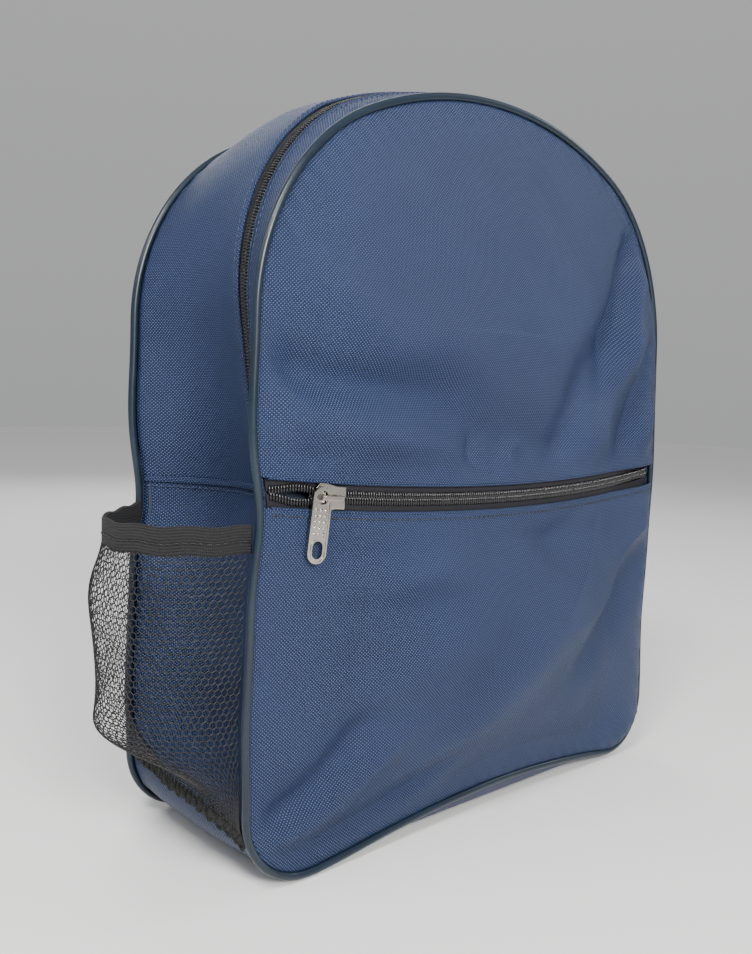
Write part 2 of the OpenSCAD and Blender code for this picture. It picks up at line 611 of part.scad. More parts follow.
front_upper_panel();
front_pocket_panel();
pocket_inner_wall();
gusset_front_strip();
gusset_rear_strip();
lower_gusset();
back_panel_fabric();
back_foam();
back_lining();
piping_front();
piping_rear();
seam_binding_front();
seam_binding_rear();
pocket_zip_tape_upper();
pocket_zip_tape_lower();
pocket_zip_coil_upper();
pocket_zip_coil_lower();
pocket_zip_slider();
pocket_zip_pull();
main_zip_tape_front();
main_zip_tape_rear();
main_zip_coil_front();
main_zip_coil_rear();
main_zip_end_patches();
main_zip_slider_left();
main_zip_pull_left();
main_zip_slider_right();
main_zip_pull_right();
mesh_pocket_left();
mesh_pocket_right();
elastic_band_left();
elastic_band_right();
mesh_hem_left();
mesh_hem_right();
haul_loop();
strap_yoke_patch();
strap_pad_left();
strap_pad_right();
strap_webbing_left();
strap_webbing_right();
strap_loop_left();
strap_loop_right();
ladder_lock_left();
ladder_lock_right();
lower_webbing_left();
lower_webbing_right();
strap_tail_left();
strap_tail_right();
strap_anchor_left();
strap_anchor_right();
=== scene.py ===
import bpy, math
import numpy as np
from mathutils import Matrix, Vector


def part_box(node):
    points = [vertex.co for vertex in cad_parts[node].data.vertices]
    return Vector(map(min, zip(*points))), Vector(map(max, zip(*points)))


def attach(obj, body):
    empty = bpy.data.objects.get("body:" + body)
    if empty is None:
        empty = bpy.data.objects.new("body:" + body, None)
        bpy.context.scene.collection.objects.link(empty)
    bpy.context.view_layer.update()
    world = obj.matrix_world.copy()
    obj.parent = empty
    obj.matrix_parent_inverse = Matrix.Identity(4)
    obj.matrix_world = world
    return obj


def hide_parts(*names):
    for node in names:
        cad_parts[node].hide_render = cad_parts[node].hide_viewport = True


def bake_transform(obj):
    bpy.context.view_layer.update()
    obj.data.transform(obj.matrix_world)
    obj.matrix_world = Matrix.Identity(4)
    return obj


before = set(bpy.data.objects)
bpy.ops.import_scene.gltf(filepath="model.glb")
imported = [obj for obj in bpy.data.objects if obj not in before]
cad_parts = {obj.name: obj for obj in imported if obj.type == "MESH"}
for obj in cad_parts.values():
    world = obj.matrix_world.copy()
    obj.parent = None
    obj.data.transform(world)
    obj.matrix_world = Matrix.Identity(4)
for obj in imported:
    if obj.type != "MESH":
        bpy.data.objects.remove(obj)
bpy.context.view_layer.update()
rng = np.random.default_rng(7)
print("frame loaded")

# measures of the bag
pipeLow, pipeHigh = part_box("piping_front")
rearLow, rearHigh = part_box("piping_rear")
pipe = {"radius": (pipeHigh.y - pipeLow.y) / 2, "standOut": 0.0004, "sides": 14}
reach = pipe["radius"] + pipe["standOut"]
bag = {
    "halfWidth": (pipeHigh.x - pipeLow.x) / 2 - reach,
    "top": pipeHigh.z - reach,
    "seamZ": pipeLow.z + reach,
    "halfDepth": (rearLow.y + rearHigh.y) / 2,
    "archRadius": 0.190, "shoulderRadius": 0.092, "cornerRadius": 0.030,
    "sideCrown": 0.005, "topCrown": 0.009, "baseCrown": 0.009, "frontCrown": 0.012,
    "dent": 0.032, "dentFullZ": 0.110,
    "splitZ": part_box("lower_gusset")[1].z + 0.00015,
}
halfWidth, halfDepth = bag["halfWidth"], bag["halfDepth"]
archRadius, shoulderRadius = bag["archRadius"], bag["shoulderRadius"]
cornerRadius = bag["cornerRadius"]
shoulderX, archZ = halfWidth - shoulderRadius, bag["top"] - archRadius
shoulderZ = archZ + math.sqrt((archRadius - shoulderRadius) ** 2 - shoulderX ** 2)
joinTurn = math.atan2(shoulderZ - archZ, shoulderX)
cornerX, cornerZ = halfWidth - cornerRadius, bag["seamZ"] + cornerRadius
dentTopZ = archZ + archRadius * math.sin(joinTurn)


def smooth(value, low, high):
    t = np.clip((value - low) / (high - low), 0, 1)
    return t * t * (3 - 2 * t)


outlineStep = 0.0005


def unit(vectors):
    return vectors / np.linalg.norm(vectors, axis=1)[:, None]


def distances(points):
    steps = np.linalg.norm(np.diff(points, axis=0), axis=1)
    return np.concatenate([[0], np.cumsum(steps)])


def pick(at, runs, values):
    return np.stack([np.interp(at, runs, values[:, k]) for k in range(values.shape[1])], 1)


def ring(wide, high, sides=8):
    turn = np.linspace(0, 2 * math.pi, sides + 1)[:-1]
    return np.stack([wide * np.cos(turn), high * np.sin(turn)], 1)


def arcPoints(cx, cz, radius, start, end):
    count = max(4, int(abs(end - start) * radius / outlineStep))
    turn = np.linspace(start, end, count)
    c, s = np.cos(turn), np.sin(turn)
    return np.stack([cx + radius * c, cz + radius * s, c, s], 1)


def linePoints(x0, z0, x1, z1, nx, nz):
    count = max(4, int(math.hypot(x1 - x0, z1 - z0) / outlineStep))
    t = np.linspace(0, 1, count)
    return np.stack([x0 + (x1 - x0) * t, z0 + (z1 - z0) * t, nx + 0 * t, nz + 0 * t], 1)


# The seam's outline, from the middle of the bottom round by the left side
outline = np.concatenate([
    linePoints(0, bag["seamZ"], -cornerX, bag["seamZ"], 0, -1),
    arcPoints(-cornerX, cornerZ, cornerRadius, 1.5 * math.pi, math.pi),
    linePoints(-halfWidth, cornerZ, -halfWidth, shoulderZ, -1, 0),
    arcPoints(-shoulderX, shoulderZ, shoulderRadius, math.pi, math.pi - joinTurn),
    arcPoints(0, archZ, archRadius, math.pi - joinTurn, joinTurn),
    arcPoints(shoulderX, shoulderZ, shoulderRadius, joinTurn, 0),
    linePoints(halfWidth, shoulderZ, halfWidth, cornerZ, 1, 0),
    arcPoints(cornerX, cornerZ, cornerRadius, 0, -0.5 * math.pi),
    linePoints(cornerX, bag["seamZ"], 0, bag["seamZ"], 0, -1),
])
apart = np.hypot(*np.diff(outline[:, :2], axis=0).T) > 1e-7
outline = outline[np.concatenate([[True], apart])]
runs = distances(outline[:, :2])
girth = runs[-1]
firstThird = len(outline) // 3
leftSplit = np.interp(bag["splitZ"], outline[:firstThird, 1], runs[:firstThird])
rightSplit = girth - leftSplit


def seamAt(s):
    s = np.mod(s, girth)
    return [np.interp(s, runs, outline[:, k]) for k in range(4)]


def seamOut(s):
    _, _, nx, nz = seamAt(s)
    return np.stack([nx, 0 * nx, nz], 1)


def swellAt(x, z, nz):
    crown = np.where(
        z > cornerZ,
        bag["sideCrown"] + (bag["topCrown"] - bag["sideCrown"]) * smooth(z, bag["splitZ"],
                                                                         shoulderZ),
        bag["sideCrown"] + (bag["baseCrown"] - bag["sideCrown"]) * nz * nz)
    rise = np.clip((z - bag["dentFullZ"]) / (dentTopZ - bag["dentFullZ"]), 0, 1)
    dent = np.where(x < 0, smooth(z, 0.014, 0.062) * (1 - rise ** 2), 0)
    return crown - bag["dent"] * dent


# Low waves that repeat the same way each run
fullTurn = 2 * math.pi
waveSet = [(rng.uniform(0, fullTurn), rng.uniform(0, fullTurn), rng.uniform(0.6, 1.4))
           for _ in range(7)]


def ripple(u, v, length):
    total = 0
    for k, (turn, phase, weight) in enumerate(waveSet):
        pitch = length * (0.6 + 0.25 * k)
        along = u * math.cos(turn) + v * math.sin(turn)
        total = total + weight * np.sin(along * fullTurn / pitch + phase)
    return total / len(waveSet)


# Where the lightly filled bag departs from its pattern: the bottom seam lifts between
# the corners, and the sides wander a little
slack = {"frontLift": 0.0090, "rearLift": 0.003, "sideLift": 0.0085, "liftReach": 0.045,
         "middleX": 0.012, "middleReach": 0.112}

# Bends of the two sides: side, middle height, reach and shift, plus to the right
sideBends = [(-1, 0.148, 0.020, 0.0032), (-1, 0.188, 0.020, -0.0010), (-1, 0.066, 0.024, -0.0014),
             (1, 0.250, 0.040, -0.0028), (1, 0.158, 0.022, 0.0008), (1, 0.075, 0.026, -0.0022)]


def slump(points):
    p = np.array(points, float)
    x, y, z = p[..., 0].copy(), p[..., 1].copy(), p[..., 2].copy()
    front = smooth(-y, -halfDepth, halfDepth)
    lift = slack["rearLift"] + (slack["frontLift"] - slack["rearLift"]) * front
    middle = np.clip(1 - ((x - slack["middleX"]) / slack["middleReach"]) ** 2, 0, 1) ** 1.3
    sideShare = smooth(-x, 0.075, 0.125) * np.clip(1 - (y / halfDepth) ** 2, 0, 1) ** 0.8
    lift = lift * middle + slack["sideLift"] * sideShare
    p[..., 2] = z + lift * np.exp(-(z / slack["liftReach"]) ** 2)
    for side, middleZ, reachZ, shift in sideBends:
        bend = shift * np.exp(-((z - middleZ) / reachZ) ** 2)
        p[..., 0] = p[..., 0] + smooth(side * x, 0.07, 0.13) * bend
    return p


def wallPoint(s, y, off=0.0):
    x, z, nx, nz = seamAt(s)
    share = 1 - (y / halfDepth) ** 2
    h = swellAt(x, z, nz) * share + off
    z2 = np.maximum(z + nz * h, 0.0004 - np.minimum(off, 0))
    return slump(np.stack([x + nx * h, y + 0 * x, z2], -1))


def edgeDistance(x, z):
    ax = np.abs(x)
    turn = np.arctan2(z - shoulderZ, ax - shoulderX)
    side = halfWidth - ax
    shoulder = shoulderRadius - np.hypot(ax - shoulderX, z - shoulderZ)
    arch = archRadius - np.hypot(ax, z - archZ)
    onShoulder = (turn < joinTurn) & (ax > shoulderX)
    return np.where(z <= shoulderZ, side, np.where(onShoulder, shoulder, np.minimum(arch, side)))


def puff(distance, length):
    return 1 - (1 - np.clip(distance / length, 0, 1)) ** 2


pocketZip = {"endZ": 0.1585, "sag": 0.0065, "cloth": 0.0058, "tapeIn": 0.00135}


def zipZ(x):
    return pocketZip["endZ"] - pocketZip["sag"] * (1 - (x / halfWidth) ** 2)


def bottomZ(x):
    ax = np.abs(x)
    corner = cornerZ - np.sqrt(np.maximum(0, cornerRadius ** 2 - np.maximum(ax - cornerX, 0) ** 2))
    return np.where(ax > cornerX, corner, bag["seamZ"])


def topZ(x, inset):
    ax = np.abs(x)
    shoulder = shoulderZ + np.sqrt(np.maximum((shoulderRadius - inset) ** 2 - (ax - shoulderX) ** 2,
                                              0))
    arch = archZ + np.sqrt(np.maximum((archRadius - inset) ** 2 - ax ** 2, 0))
    return np.where(ax > shoulderX + (shoulderRadius - inset) * math.cos(joinTurn), shoulder, arch)


# Soft folds of the front: from x, z to x, z, with half width and height (out is plus)
folds = [
    (-0.134, 0.212, -0.050, 0.196, 0.0085, -0.0053), (-0.134, 0.196, -0.040, 0.172, 0.0100, 0.0046),
    (-0.050, 0.196, 0.030, 0.168, 0.0140, -0.0046), (-0.110, 0.236, -0.020, 0.212, 0.0140, 0.0035),
    (-0.125, 0.176, -0.092, 0.162, 0.0060, 0.0024), (-0.132, 0.184, -0.104, 0.166, 0.0040, -0.0021),
    (-0.026, 0.178, -0.014, 0.160, 0.0060, -0.0035), (0.006, 0.176, 0.000, 0.160, 0.0050, 0.0024),
    (0.118, 0.300, 0.070, 0.206, 0.0080, -0.0073), (0.082, 0.236, 0.030, 0.166, 0.0100, -0.0053),
    (0.124, 0.280, 0.092, 0.214, 0.0090, 0.0053), (0.100, 0.230, 0.062, 0.166, 0.0100, 0.0053),
    (0.131, 0.232, 0.088, 0.166, 0.0070, -0.0053), (0.130, 0.200, 0.110, 0.166, 0.0060, 0.0035),
    (0.124, 0.150, 0.060, 0.098, 0.0180, 0.0070), (0.060, 0.098, -0.030, 0.040, 0.0200, 0.0053),
    (0.124, 0.116, 0.052, 0.060, 0.0140, -0.0059), (-0.100, 0.136, -0.044, 0.106, 0.0120, -0.0035),
    (-0.094, 0.124, -0.036, 0.118, 0.0080, 0.0035), (-0.128, 0.030, -0.080, 0.058, 0.0060, -0.0039),
    (-0.126, 0.018, -0.060, 0.046, 0.0070, 0.0032), (-0.110, 0.014, -0.020, 0.030, 0.0060, -0.0028),
    (-0.090, 0.070, -0.020, 0.094, 0.0120, 0.0024), (0.020, 0.130, 0.050, 0.146, 0.0100, -0.0024),
]
front = {"columns": 230, "rows": 130, "thick": 0.0009, "inset": 0.0012, "stitchFromEdge": 0.0026,
         "edgeRoll": 0.0016, "rightRoll": 0.0042, "pocketBelly": 0.0080, "bellyX": 0.022,
         "bellyReachX": 0.108, "bellyZ": 0.076, "bellyReachZ": 0.056, "foldBend": 0.004,
         "pullClear": 0.0010, "puckerPitch": 0.0125, "pucker": 0.00030, "ripple": 0.0007}


def foldHeight(x, z):
    total = 0
    for x0, z0, x1, z1, width, height in folds:
        dx, dz = x1 - x0, z1 - z0
        length = math.hypot(dx, dz)
        along = ((x - x0) * dx + (z - z0) * dz) / length
        across = ((x - x0) * -dz + (z - z0) * dx) / length
        across = across + front["foldBend"] * np.sin(along / length * 4)
        fadeIn = smooth(along, -0.3 * length, 0.25 * length)
        ends = fadeIn * (1 - smooth(along, 0.75 * length, 1.35 * length))
        total = total + height * ends * np.exp(-(across / width) ** 2)
    return total


def frontY(x, z, folded=True):
    side, low = edgeDistance(x, z), z - bottomZ(x)
    y = -halfDepth - bag["frontCrown"] * puff(side, halfWidth) * puff(z - bag["seamZ"], 0.110)
    if not folded:
        return y
    edge = np.minimum(side, low)
    away = smooth(edge, 0.001, 0.018) * smooth(np.abs(z - zipZ(x)), 0.005, 0.024)
    below = z < zipZ(x)
    # Folds stay low just below the zip, where the pull hangs
    pullRoom = front["pullClear"] + 0.075 * np.maximum(zipZ(x) - z - 0.006, 0)
    fold = np.minimum(foldHeight(x, z), np.where(below, pullRoom, 0.02))
    y = y - away * (fold + front["ripple"] * ripple(x, z, 0.045))
    pucker = np.sin((x * 1.3 + z) * fullTurn / front["puckerPitch"] + 3 * np.sin(z * 40))
    pucker = pucker * np.exp(-(edge - 0.004) / 0.006)
    y = y + front["pucker"] * pucker * smooth(edge, 0.001, 0.004)
    bellyX = np.clip(1 - ((x - front["bellyX"]) / front["bellyReachX"]) ** 2, 0, 1)
    bellyZ = np.clip(1 - ((z - front["bellyZ"]) / front["bellyReachZ"]) ** 2, 0, 1)
    y = y - front["pocketBelly"] * (bellyX * bellyZ) * below
    # Cloth turned under at its seam, fuller along the right side
    toRight = smooth(x, 0.085, 0.120)
    full = front["edgeRoll"] + front["rightRoll"] * toRight * (1 - smooth(z, 0.225, 0.275))
    turn = 0.005 + 0.007 * toRight
    share = np.clip(edge / turn, 0, 1)
    return y - full * np.sqrt(np.clip(1 - (1 - share) ** 2, 0, 1)) + 0.0012


# mesh makers
def addObject(name, verts, faces, uv=None, smoothShade=True):
    name = name.replace(" ", "_")
    mesh = bpy.data.meshes.new(name)
    mesh.from_pydata([tuple(v) for v in verts], [], faces)
    if uv is not None:
        layer = mesh.uv_layers.new(name="cloth")
        index = np.zeros(len(mesh.loops), np.int32)
        mesh.loops.foreach_get("vertex_index", index)
        layer.data.foreach_set("uv", np.asarray(uv, np.float32)[index].ravel())
    mesh.polygons.foreach_set("use_smooth", [smoothShade] * len(mesh.polygons))
    mesh.update()
    thing = bpy.data.objects.new(name, mesh)
    bpy.context.collection.objects.link(thing)
    return thing


def gridFaces(rows, cols, closeRows=False, closeCols=False, start=0):
    i = np.arange(rows if closeRows else rows - 1)
    j = np.arange(cols if closeCols else cols - 1)
    i, j = np.meshgrid(i, j, indexing="ij")
    i2, j2 = (i + 1) % rows, (j + 1) % cols
    quads = np.stack([i * cols + j, i2 * cols + j, i2 * cols + j2, i * cols + j2], -1).reshape(-1,
                                                                                               4)
    return (quads + start).tolist()


def endCaps(rows, cols):
    return [list(range(cols)), [(rows - 1) * cols + k for k in range(cols - 1, -1, -1)]]


def sheetObject(name, points, uv, thickness=0.0, flip=False):
    rows, cols = points.shape[:2]
    faces = gridFaces(rows, cols)
    if flip:
        faces = [f[::-1] for f in faces]
    thing = addObject(name, points.reshape(-1, 3), faces, uv.reshape(-1, 2))
    if thickness:
        solid = thing.modifiers.new("thickness", "SOLIDIFY")
        solid.thickness, solid.offset = thickness, -1
    return thing


# The section is a list of sideways and outward offsets, one for all or one for each point
def sweepObject(name, path, sideways, outward, section, closed=False):
    path, sideways, outward = map(np.asarray, (path, sideways, outward))
    section = np.asarray(section, float)
    if section.ndim == 2:
        section = np.repeat(section[None], len(path), 0)
    wide, high = sideways[:, None] * section[..., :1], outward[:, None] * section[..., 1:2]
    points = path[:, None] + wide + high
    rows, cols = points.shape[:2]
    uv = np.stack(np.meshgrid(distances(path), distances(section[0]), indexing="ij"), -1)
    faces = gridFaces(rows, cols, closed, True)
    if not closed:
        faces += endCaps(rows, cols)
    return addObject(name, points.reshape(-1, 3), faces, uv.reshape(-1, 2))


def frames(path, facing):
    path = np.asarray(path, float)
    run = unit(np.gradient(path, axis=0))
    facing = np.broadcast_to(np.asarray(facing, float), path.shape)
    side = unit(np.cross(run, facing))
    return side, np.cross(side, run)


def roundBar(width, thick, corner=0.35, count=3):
    a, b = width / 2, thick / 2
    r = corner * thick
    pts = []
    a, b = a - r, b - r
    for cx, cz, start in ((a, b, 0), (-a, b, 90), (-a, -b, 180), (a, -b, 270)):
        for k in range(count):
            t = math.radians(start + 90 * k / (count - 1))
            pts.append((cx + r * math.cos(t), cz + r * math.sin(t)))
    return pts[::-1]


# A bar's rings: place along it, size and height, so that its ends are round and dip in
barRings = [(0, 0.35, -0.9), (0.16, 0.9, -0.1), (0.5, 1.0, 0.25), (0.84, 0.9, -0.1),
            (1, 0.35, -0.9)]


# Many short round-ended bars in one mesh, such as stitches and zip teeth
def bars(name, starts, ends, outs, radius, flat=0.8, sides=6, lift=0.0):
    starts, ends, outs = (np.asarray(v, float) for v in (starts, ends, outs))
    run = ends - starts
    length = np.linalg.norm(run, axis=1)[:, None]
    run = run / length
    outs = unit(outs - run * np.sum(run * outs, 1)[:, None])
    side = np.cross(run, outs)
    rings, turn = [], np.arange(sides) * fullTurn / sides
    for t, scale, up in barRings:
        centre = starts + run * length * t + outs * (radius * up * 0.6 + lift)
        wide = side[:, None] * (np.cos(turn) * radius * scale)[None, :, None]
        high = outs[:, None] * (np.sin(turn) * radius * flat * scale)[None, :, None]
        rings.append(centre[:, None] + wide + high)
    points = np.stack(rings, 1)
    count, rows = len(starts), len(rings)
    base = gridFaces(rows, sides, False, True) + endCaps(rows, sides)
    faces = [[k + n * rows * sides for k in f] for n in range(count) for f in base]
    return addObject(name, points.reshape(-1, 3), faces)


stitch = {"pitch": 0.0030, "length": 0.0023, "radius": 0.00028, "lift": 0.0001, "fromEdge": 0.0028}


def stitches(name, path, outs, radius=stitch["radius"], lift=stitch["lift"]):
    path, outs = np.asarray(path, float), np.asarray(outs, float)
    s = distances(path)
    at, half = np.arange(stitch["pitch"] / 2, s[-1], stitch["pitch"]), stitch["length"] / 2
    starts, ends = pick(at - half, s, path), pick(at + half, s, path)
    return bars(name, starts, ends, pick(at, s, outs), radius, sides=5, lift=lift)


# materials
class Wire:
    def __init__(self, tree, socket=None):
        self.tree, self.socket = tree, socket

    def node(self, kind, settings=None, inputs=None, output=0):
        made = self.tree.nodes.new(kind)
        for key, value in (settings or {}).items():
            setattr(made, key, value)
        for key, value in (inputs or {}).items():
            if isinstance(value, Wire):
                self.tree.links.new(value.socket, made.inputs[key])
            else:
                made.inputs[key].default_value = value
        return Wire(self.tree, made.outputs[output])

    def math(self, operation, a, b=0.0):
        return self.node("ShaderNodeMath", {"operation": operation}, {0: a, 1: b})

    def __add__(self, other): return self.math("ADD", self, other)
    def __radd__(self, other): return self.math("ADD", other, self)
    def __sub__(self, other): return self.math("SUBTRACT", self, other)
    def __rsub__(self, other): return self.math("SUBTRACT", other, self)
    def __mul__(self, other): return self.math("MULTIPLY", self, other)
    def __rmul__(self, other): return self.math("MULTIPLY", other, self)
    def __pow__(self, other): return self.math("POWER", self, other)
    def __rpow__(self, other): return self.math("POWER", other, self)
    def __abs__(self): return self.math("ABSOLUTE", self)
    def sine(self): return self.math("SINE", self)
    def above(self, level): return self.math("GREATER_THAN", self, level)
    def clamp(self): return self.math("MINIMUM", self.math("MAXIMUM", self, 0.0), 1.0)

    def mixColor(self, factor, a, b):
        return self.node("ShaderNodeMix", {"data_type": "RGBA"}, {0: factor, 6: a, 7: b}, 2)

    def noise(self, vector, scale, detail=2.0, roughness=0.5):
        return self.node("ShaderNodeTexNoise", {}, {
            "Vector": vector, "Scale": scale, "Detail": detail, "Roughness": roughness})

    def objectPlace(self):
        return self.node("ShaderNodeTexCoord", output=3)

    # Two of the three parts of a place: x, and y or z
    def parts(self, second):
        x = self.node("ShaderNodeSeparateXYZ", {}, {0: self})
        return x, Wire(self.tree, x.socket.node.outputs[second])

    # The cloth's own measures, along and across its threads
    def clothPlace(self):
        return self.node("ShaderNodeUVMap", {"uv_map": "cloth"}).parts(1)

    def bump(self, strength, distance, height):
        return self.node("ShaderNodeBump", {}, {
            "Strength": strength, "Distance": distance, "Height": height})


def startMaterial(name, settings):
    material = bpy.data.materials.new(name)
    material.use_nodes = True
    tree = material.node_tree
    shader = tree.nodes["Principled BSDF"]
    for key, value in settings.items():
        shader.inputs[key].default_value = value
    return material, Wire(tree), shader


def finishMaterial(wire, shader, **feeds):
    names = {"color": "Base Color", "roughness": "Roughness", "normal": "Normal"}
    for key, value in feeds.items():
        wire.tree.links.new(value.socket, shader.inputs[names[key]])


def weaveMaterial(name, look):
    material, w, shader = startMaterial(name, {
        "Specular IOR Level": look["specular"], "Sheen Weight": look["sheen"],
        "Sheen Roughness": 0.5})
    solid = w.objectPlace()
    u, v = solid.parts(2) if look["byObject"] else w.clothPlace()
    wobble = (w.noise(solid, 60.0, 2.0) - 0.5) * look["wobble"]
    a = ((u + wobble * look["pitch"]) * (math.pi / look["pitch"])).sine()
    b = ((v + wobble * look["pitch"]) * (math.pi / look["pitch"])).sine()
    cell = a * b
    hump = abs(cell) ** 0.9
    spot = hump * cell.above(0.0)
    thread = w.noise(solid, 1900.0, 2.0, 0.6)
    patch = w.noise(solid, 14.0, 3.0, 0.55)
    tone = spot * look["relief"] + hump * look["checker"] + (thread - 0.5) * look["grain"]
    tone = (tone + (patch - 0.5) * look["patch"] + look["level"]).clamp()
    color = w.mixColor(tone, look["dark"], look["light"])
    rough = (look["roughness"] + (thread - 0.5) * 0.18 - hump * 0.10).clamp()
    height = hump * 0.6 + spot * 0.6 + thread * 0.3
    normal = w.bump(look["bump"], look["pitch"] * 0.45, height)
    finishMaterial(w, shader, color=color, roughness=rough, normal=normal)
    return material


def plainMaterial(name, look):
    material, w, shader = startMaterial(name, {
        "Metallic": look.get("metal", 0.0), "Specular IOR Level": look.get("specular", 0.5),
        "Coat Weight": look.get("coat", 0.0), "Coat Roughness": 0.12})
    solid = w.objectPlace()
    broad, fine = w.noise(solid, look["broad"], 3.0), w.noise(solid, look["fine"], 3.0, 0.6)
    tone = ((broad - 0.5) * 1.2 + (fine - 0.5) * 0.8 + 0.5).clamp()
    color = w.mixColor(tone, look["dark"], look["light"])
    spread = look["roughSpread"]
    rough = (look["roughness"] + (broad - 0.5) * spread + (fine - 0.5) * spread).clamp()
    normal = w.bump(look["bump"], 0.0001, fine)
    finishMaterial(w, shader, color=color, roughness=rough, normal=normal)
    return material


# Ribs that run along the tape, with a fine cross thread
def ribMaterial(name, look):
    material, w, shader = startMaterial(name, {
        "Specular IOR Level": 0.28, "Sheen Weight": 0.03, "Sheen Roughness": 0.5})
    u, v = w.clothPlace()
    solid = w.objectPlace()
    rib = abs((v * (math.pi / look["rib"])).sine()) ** 0.6
    cross = abs((u * (math.pi / look["cross"])).sine()) ** 0.7
    thread = w.noise(solid, 2400.0, 2.0, 0.6)
    tone = (rib * 0.45 * look["ribDepth"] + cross * 0.35 + (thread - 0.5) * 0.5 + 0.05).clamp()
    color = w.mixColor(tone, look["dark"], look["light"])
    rough = (look["roughness"] + (thread - 0.5) * 0.2).clamp()
    height = rib * look["ribDepth"] + cross * 0.5 + thread * 0.3
    normal = w.bump(look["bump"], look["rib"] * 0.5, height)
    finishMaterial(w, shader, color=color, roughness=rough, normal=normal)
    return material


navyCloth = weaveMaterial("navy polyester", {
    "pitch": 0.00072, "wobble": 0.45, "relief": 0.98, "checker": 0.12, "grain": 0.36, "patch": 0.16,
    "level": 0.0,
    "dark": (0.0010, 0.0034, 0.013, 1), "light": (0.060, 0.104, 0.262, 1), "roughness": 0.52,
    "bump": 0.9,
    "sheen": 0.0, "specular": 0.26, "byObject": False})
liningCloth = weaveMaterial("navy lining", {
    "pitch": 0.0005, "wobble": 0.4, "relief": 0.3, "checker": 0.1, "grain": 0.4, "patch": 0.3,
    "level": 0.12,
    "dark": (0.012, 0.018, 0.040, 1), "light": (0.045, 0.060, 0.110, 1), "roughness": 0.7,
    "bump": 0.4, "sheen": 0.1, "specular": 0.5, "byObject": True})
pipingVinyl = plainMaterial("piping vinyl", {
    "dark": (0.0035, 0.008, 0.015, 1), "light": (0.008, 0.018, 0.032, 1), "roughness": 0.34,
    "roughSpread": 0.06,
    "broad": 40.0, "fine": 500.0, "bump": 0.05, "coat": 0.06, "specular": 0.36})
zipTape = ribMaterial("zip tape", {"rib": 0.0006, "cross": 0.0007, "ribDepth": 0.6,
                                   "roughness": 0.8, "bump": 0.5,
    "dark": (0.003, 0.003, 0.005, 1), "light": (0.020, 0.020, 0.026, 1)})
zipNylon = plainMaterial("zip coil", {"dark": (0.003, 0.003, 0.004, 1),
                                      "light": (0.012, 0.012, 0.014, 1), "roughness": 0.26,
    "roughSpread": 0.2, "broad": 200.0, "fine": 1500.0, "bump": 0.1, "specular": 0.5})
nickel = plainMaterial("nickel plate", {"dark": (0.30, 0.275, 0.25, 1),
                                        "light": (0.58, 0.545, 0.50, 1), "metal": 1.0,
                                        "roughness": 0.19,
    "roughSpread": 0.12, "broad": 90.0, "fine": 1300.0, "bump": 0.06})
netYarn = plainMaterial("net yarn", {"dark": (0.003, 0.003, 0.004, 1),
                                     "light": (0.014, 0.014, 0.016, 1), "roughness": 0.5,
    "roughSpread": 0.2, "broad": 120.0, "fine": 3000.0, "bump": 0.3, "specular": 0.4})
elasticKnit = ribMaterial("elastic", {"rib": 0.0011, "cross": 0.0007, "ribDepth": 1.0,
                                      "roughness": 0.75, "bump": 0.9,
    "dark": (0.0015, 0.0015, 0.002, 1), "light": (0.016, 0.016, 0.018, 1)})
blackWebbing = ribMaterial("webbing", {"rib": 0.0016, "cross": 0.0009, "ribDepth": 1.0,
                                       "roughness": 0.6, "bump": 0.8,
    "dark": (0.003, 0.003, 0.004, 1), "light": (0.022, 0.022, 0.024, 1)})
navyThread = plainMaterial("navy thread", {"dark": (0.012, 0.020, 0.048, 1),
                                           "light": (0.030, 0.045, 0.095, 1), "roughness": 0.5,
    "roughSpread": 0.2, "broad": 300.0, "fine": 4000.0, "bump": 0.3})
blackThread = plainMaterial("black thread", {"dark": (0.003, 0.003, 0.004, 1),
                                             "light": (0.016, 0.016, 0.018, 1), "roughness": 0.5,
    "roughSpread": 0.2, "broad": 300.0, "fine": 4000.0, "bump": 0.3})
acetal = plainMaterial("buckle plastic", {"dark": (0.008, 0.008, 0.009, 1),
                                          "light": (0.022, 0.022, 0.024, 1), "roughness": 0.38,
    "roughSpread": 0.14, "broad": 120.0, "fine": 1800.0, "bump": 0.15})
print("materials made")


# A piece with no body here is left unattached
def dress(thing, material, body, stands=()):
    thing.data.materials.append(material)
    if body:
        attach(thing, body)
    if stands:
        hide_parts(*stands)
    return thing


# front panels
def frontPanel(name, low, high, node):
    turn = np.linspace(-math.pi / 2, math.pi / 2, front["columns"])
    x = (halfWidth - front["inset"]) * np.sin(turn) * 0.9995
    rows = np.linspace(0, 1, front["rows"])
    rows = rows - 0.036 * np.sin(fullTurn * rows)
    z0, z1 = low(x), high(x)
    z = z0[:, None] + (z1 - z0)[:, None] * rows[None]
    xx = np.repeat(x[:, None], front["rows"], 1)
    points = slump(np.stack([xx, frontY(xx, z), z], -1))
    panel = sheetObject(name, points, np.stack([xx, z], -1), front["thick"])
    dress(panel, navyCloth, "bag", [node])
    area = float(np.sum((z1 - z0)[1:] * np.diff(x)))
    return panel, float(np.max(z1 - z0)), area


upperPanel, upperTall, upperArea = frontPanel(
    "upper front panel", lambda x: zipZ(x) + pocketZip["cloth"],
    lambda x: topZ(x, front["inset"]), "front_upper_panel")
pocketPanel, pocketTall, pocketArea = frontPanel(
    "front pocket cloth", lambda x: bottomZ(x) + front["inset"],
    lambda x: zipZ(x) - pocketZip["cloth"], "front_pocket_panel")


def frontCurve(x, z):
    points = slump(np.stack([x, frontY(x, z), z], -1))
    return points, np.tile([0.0, -1.0, 0.0], (len(x), 1))


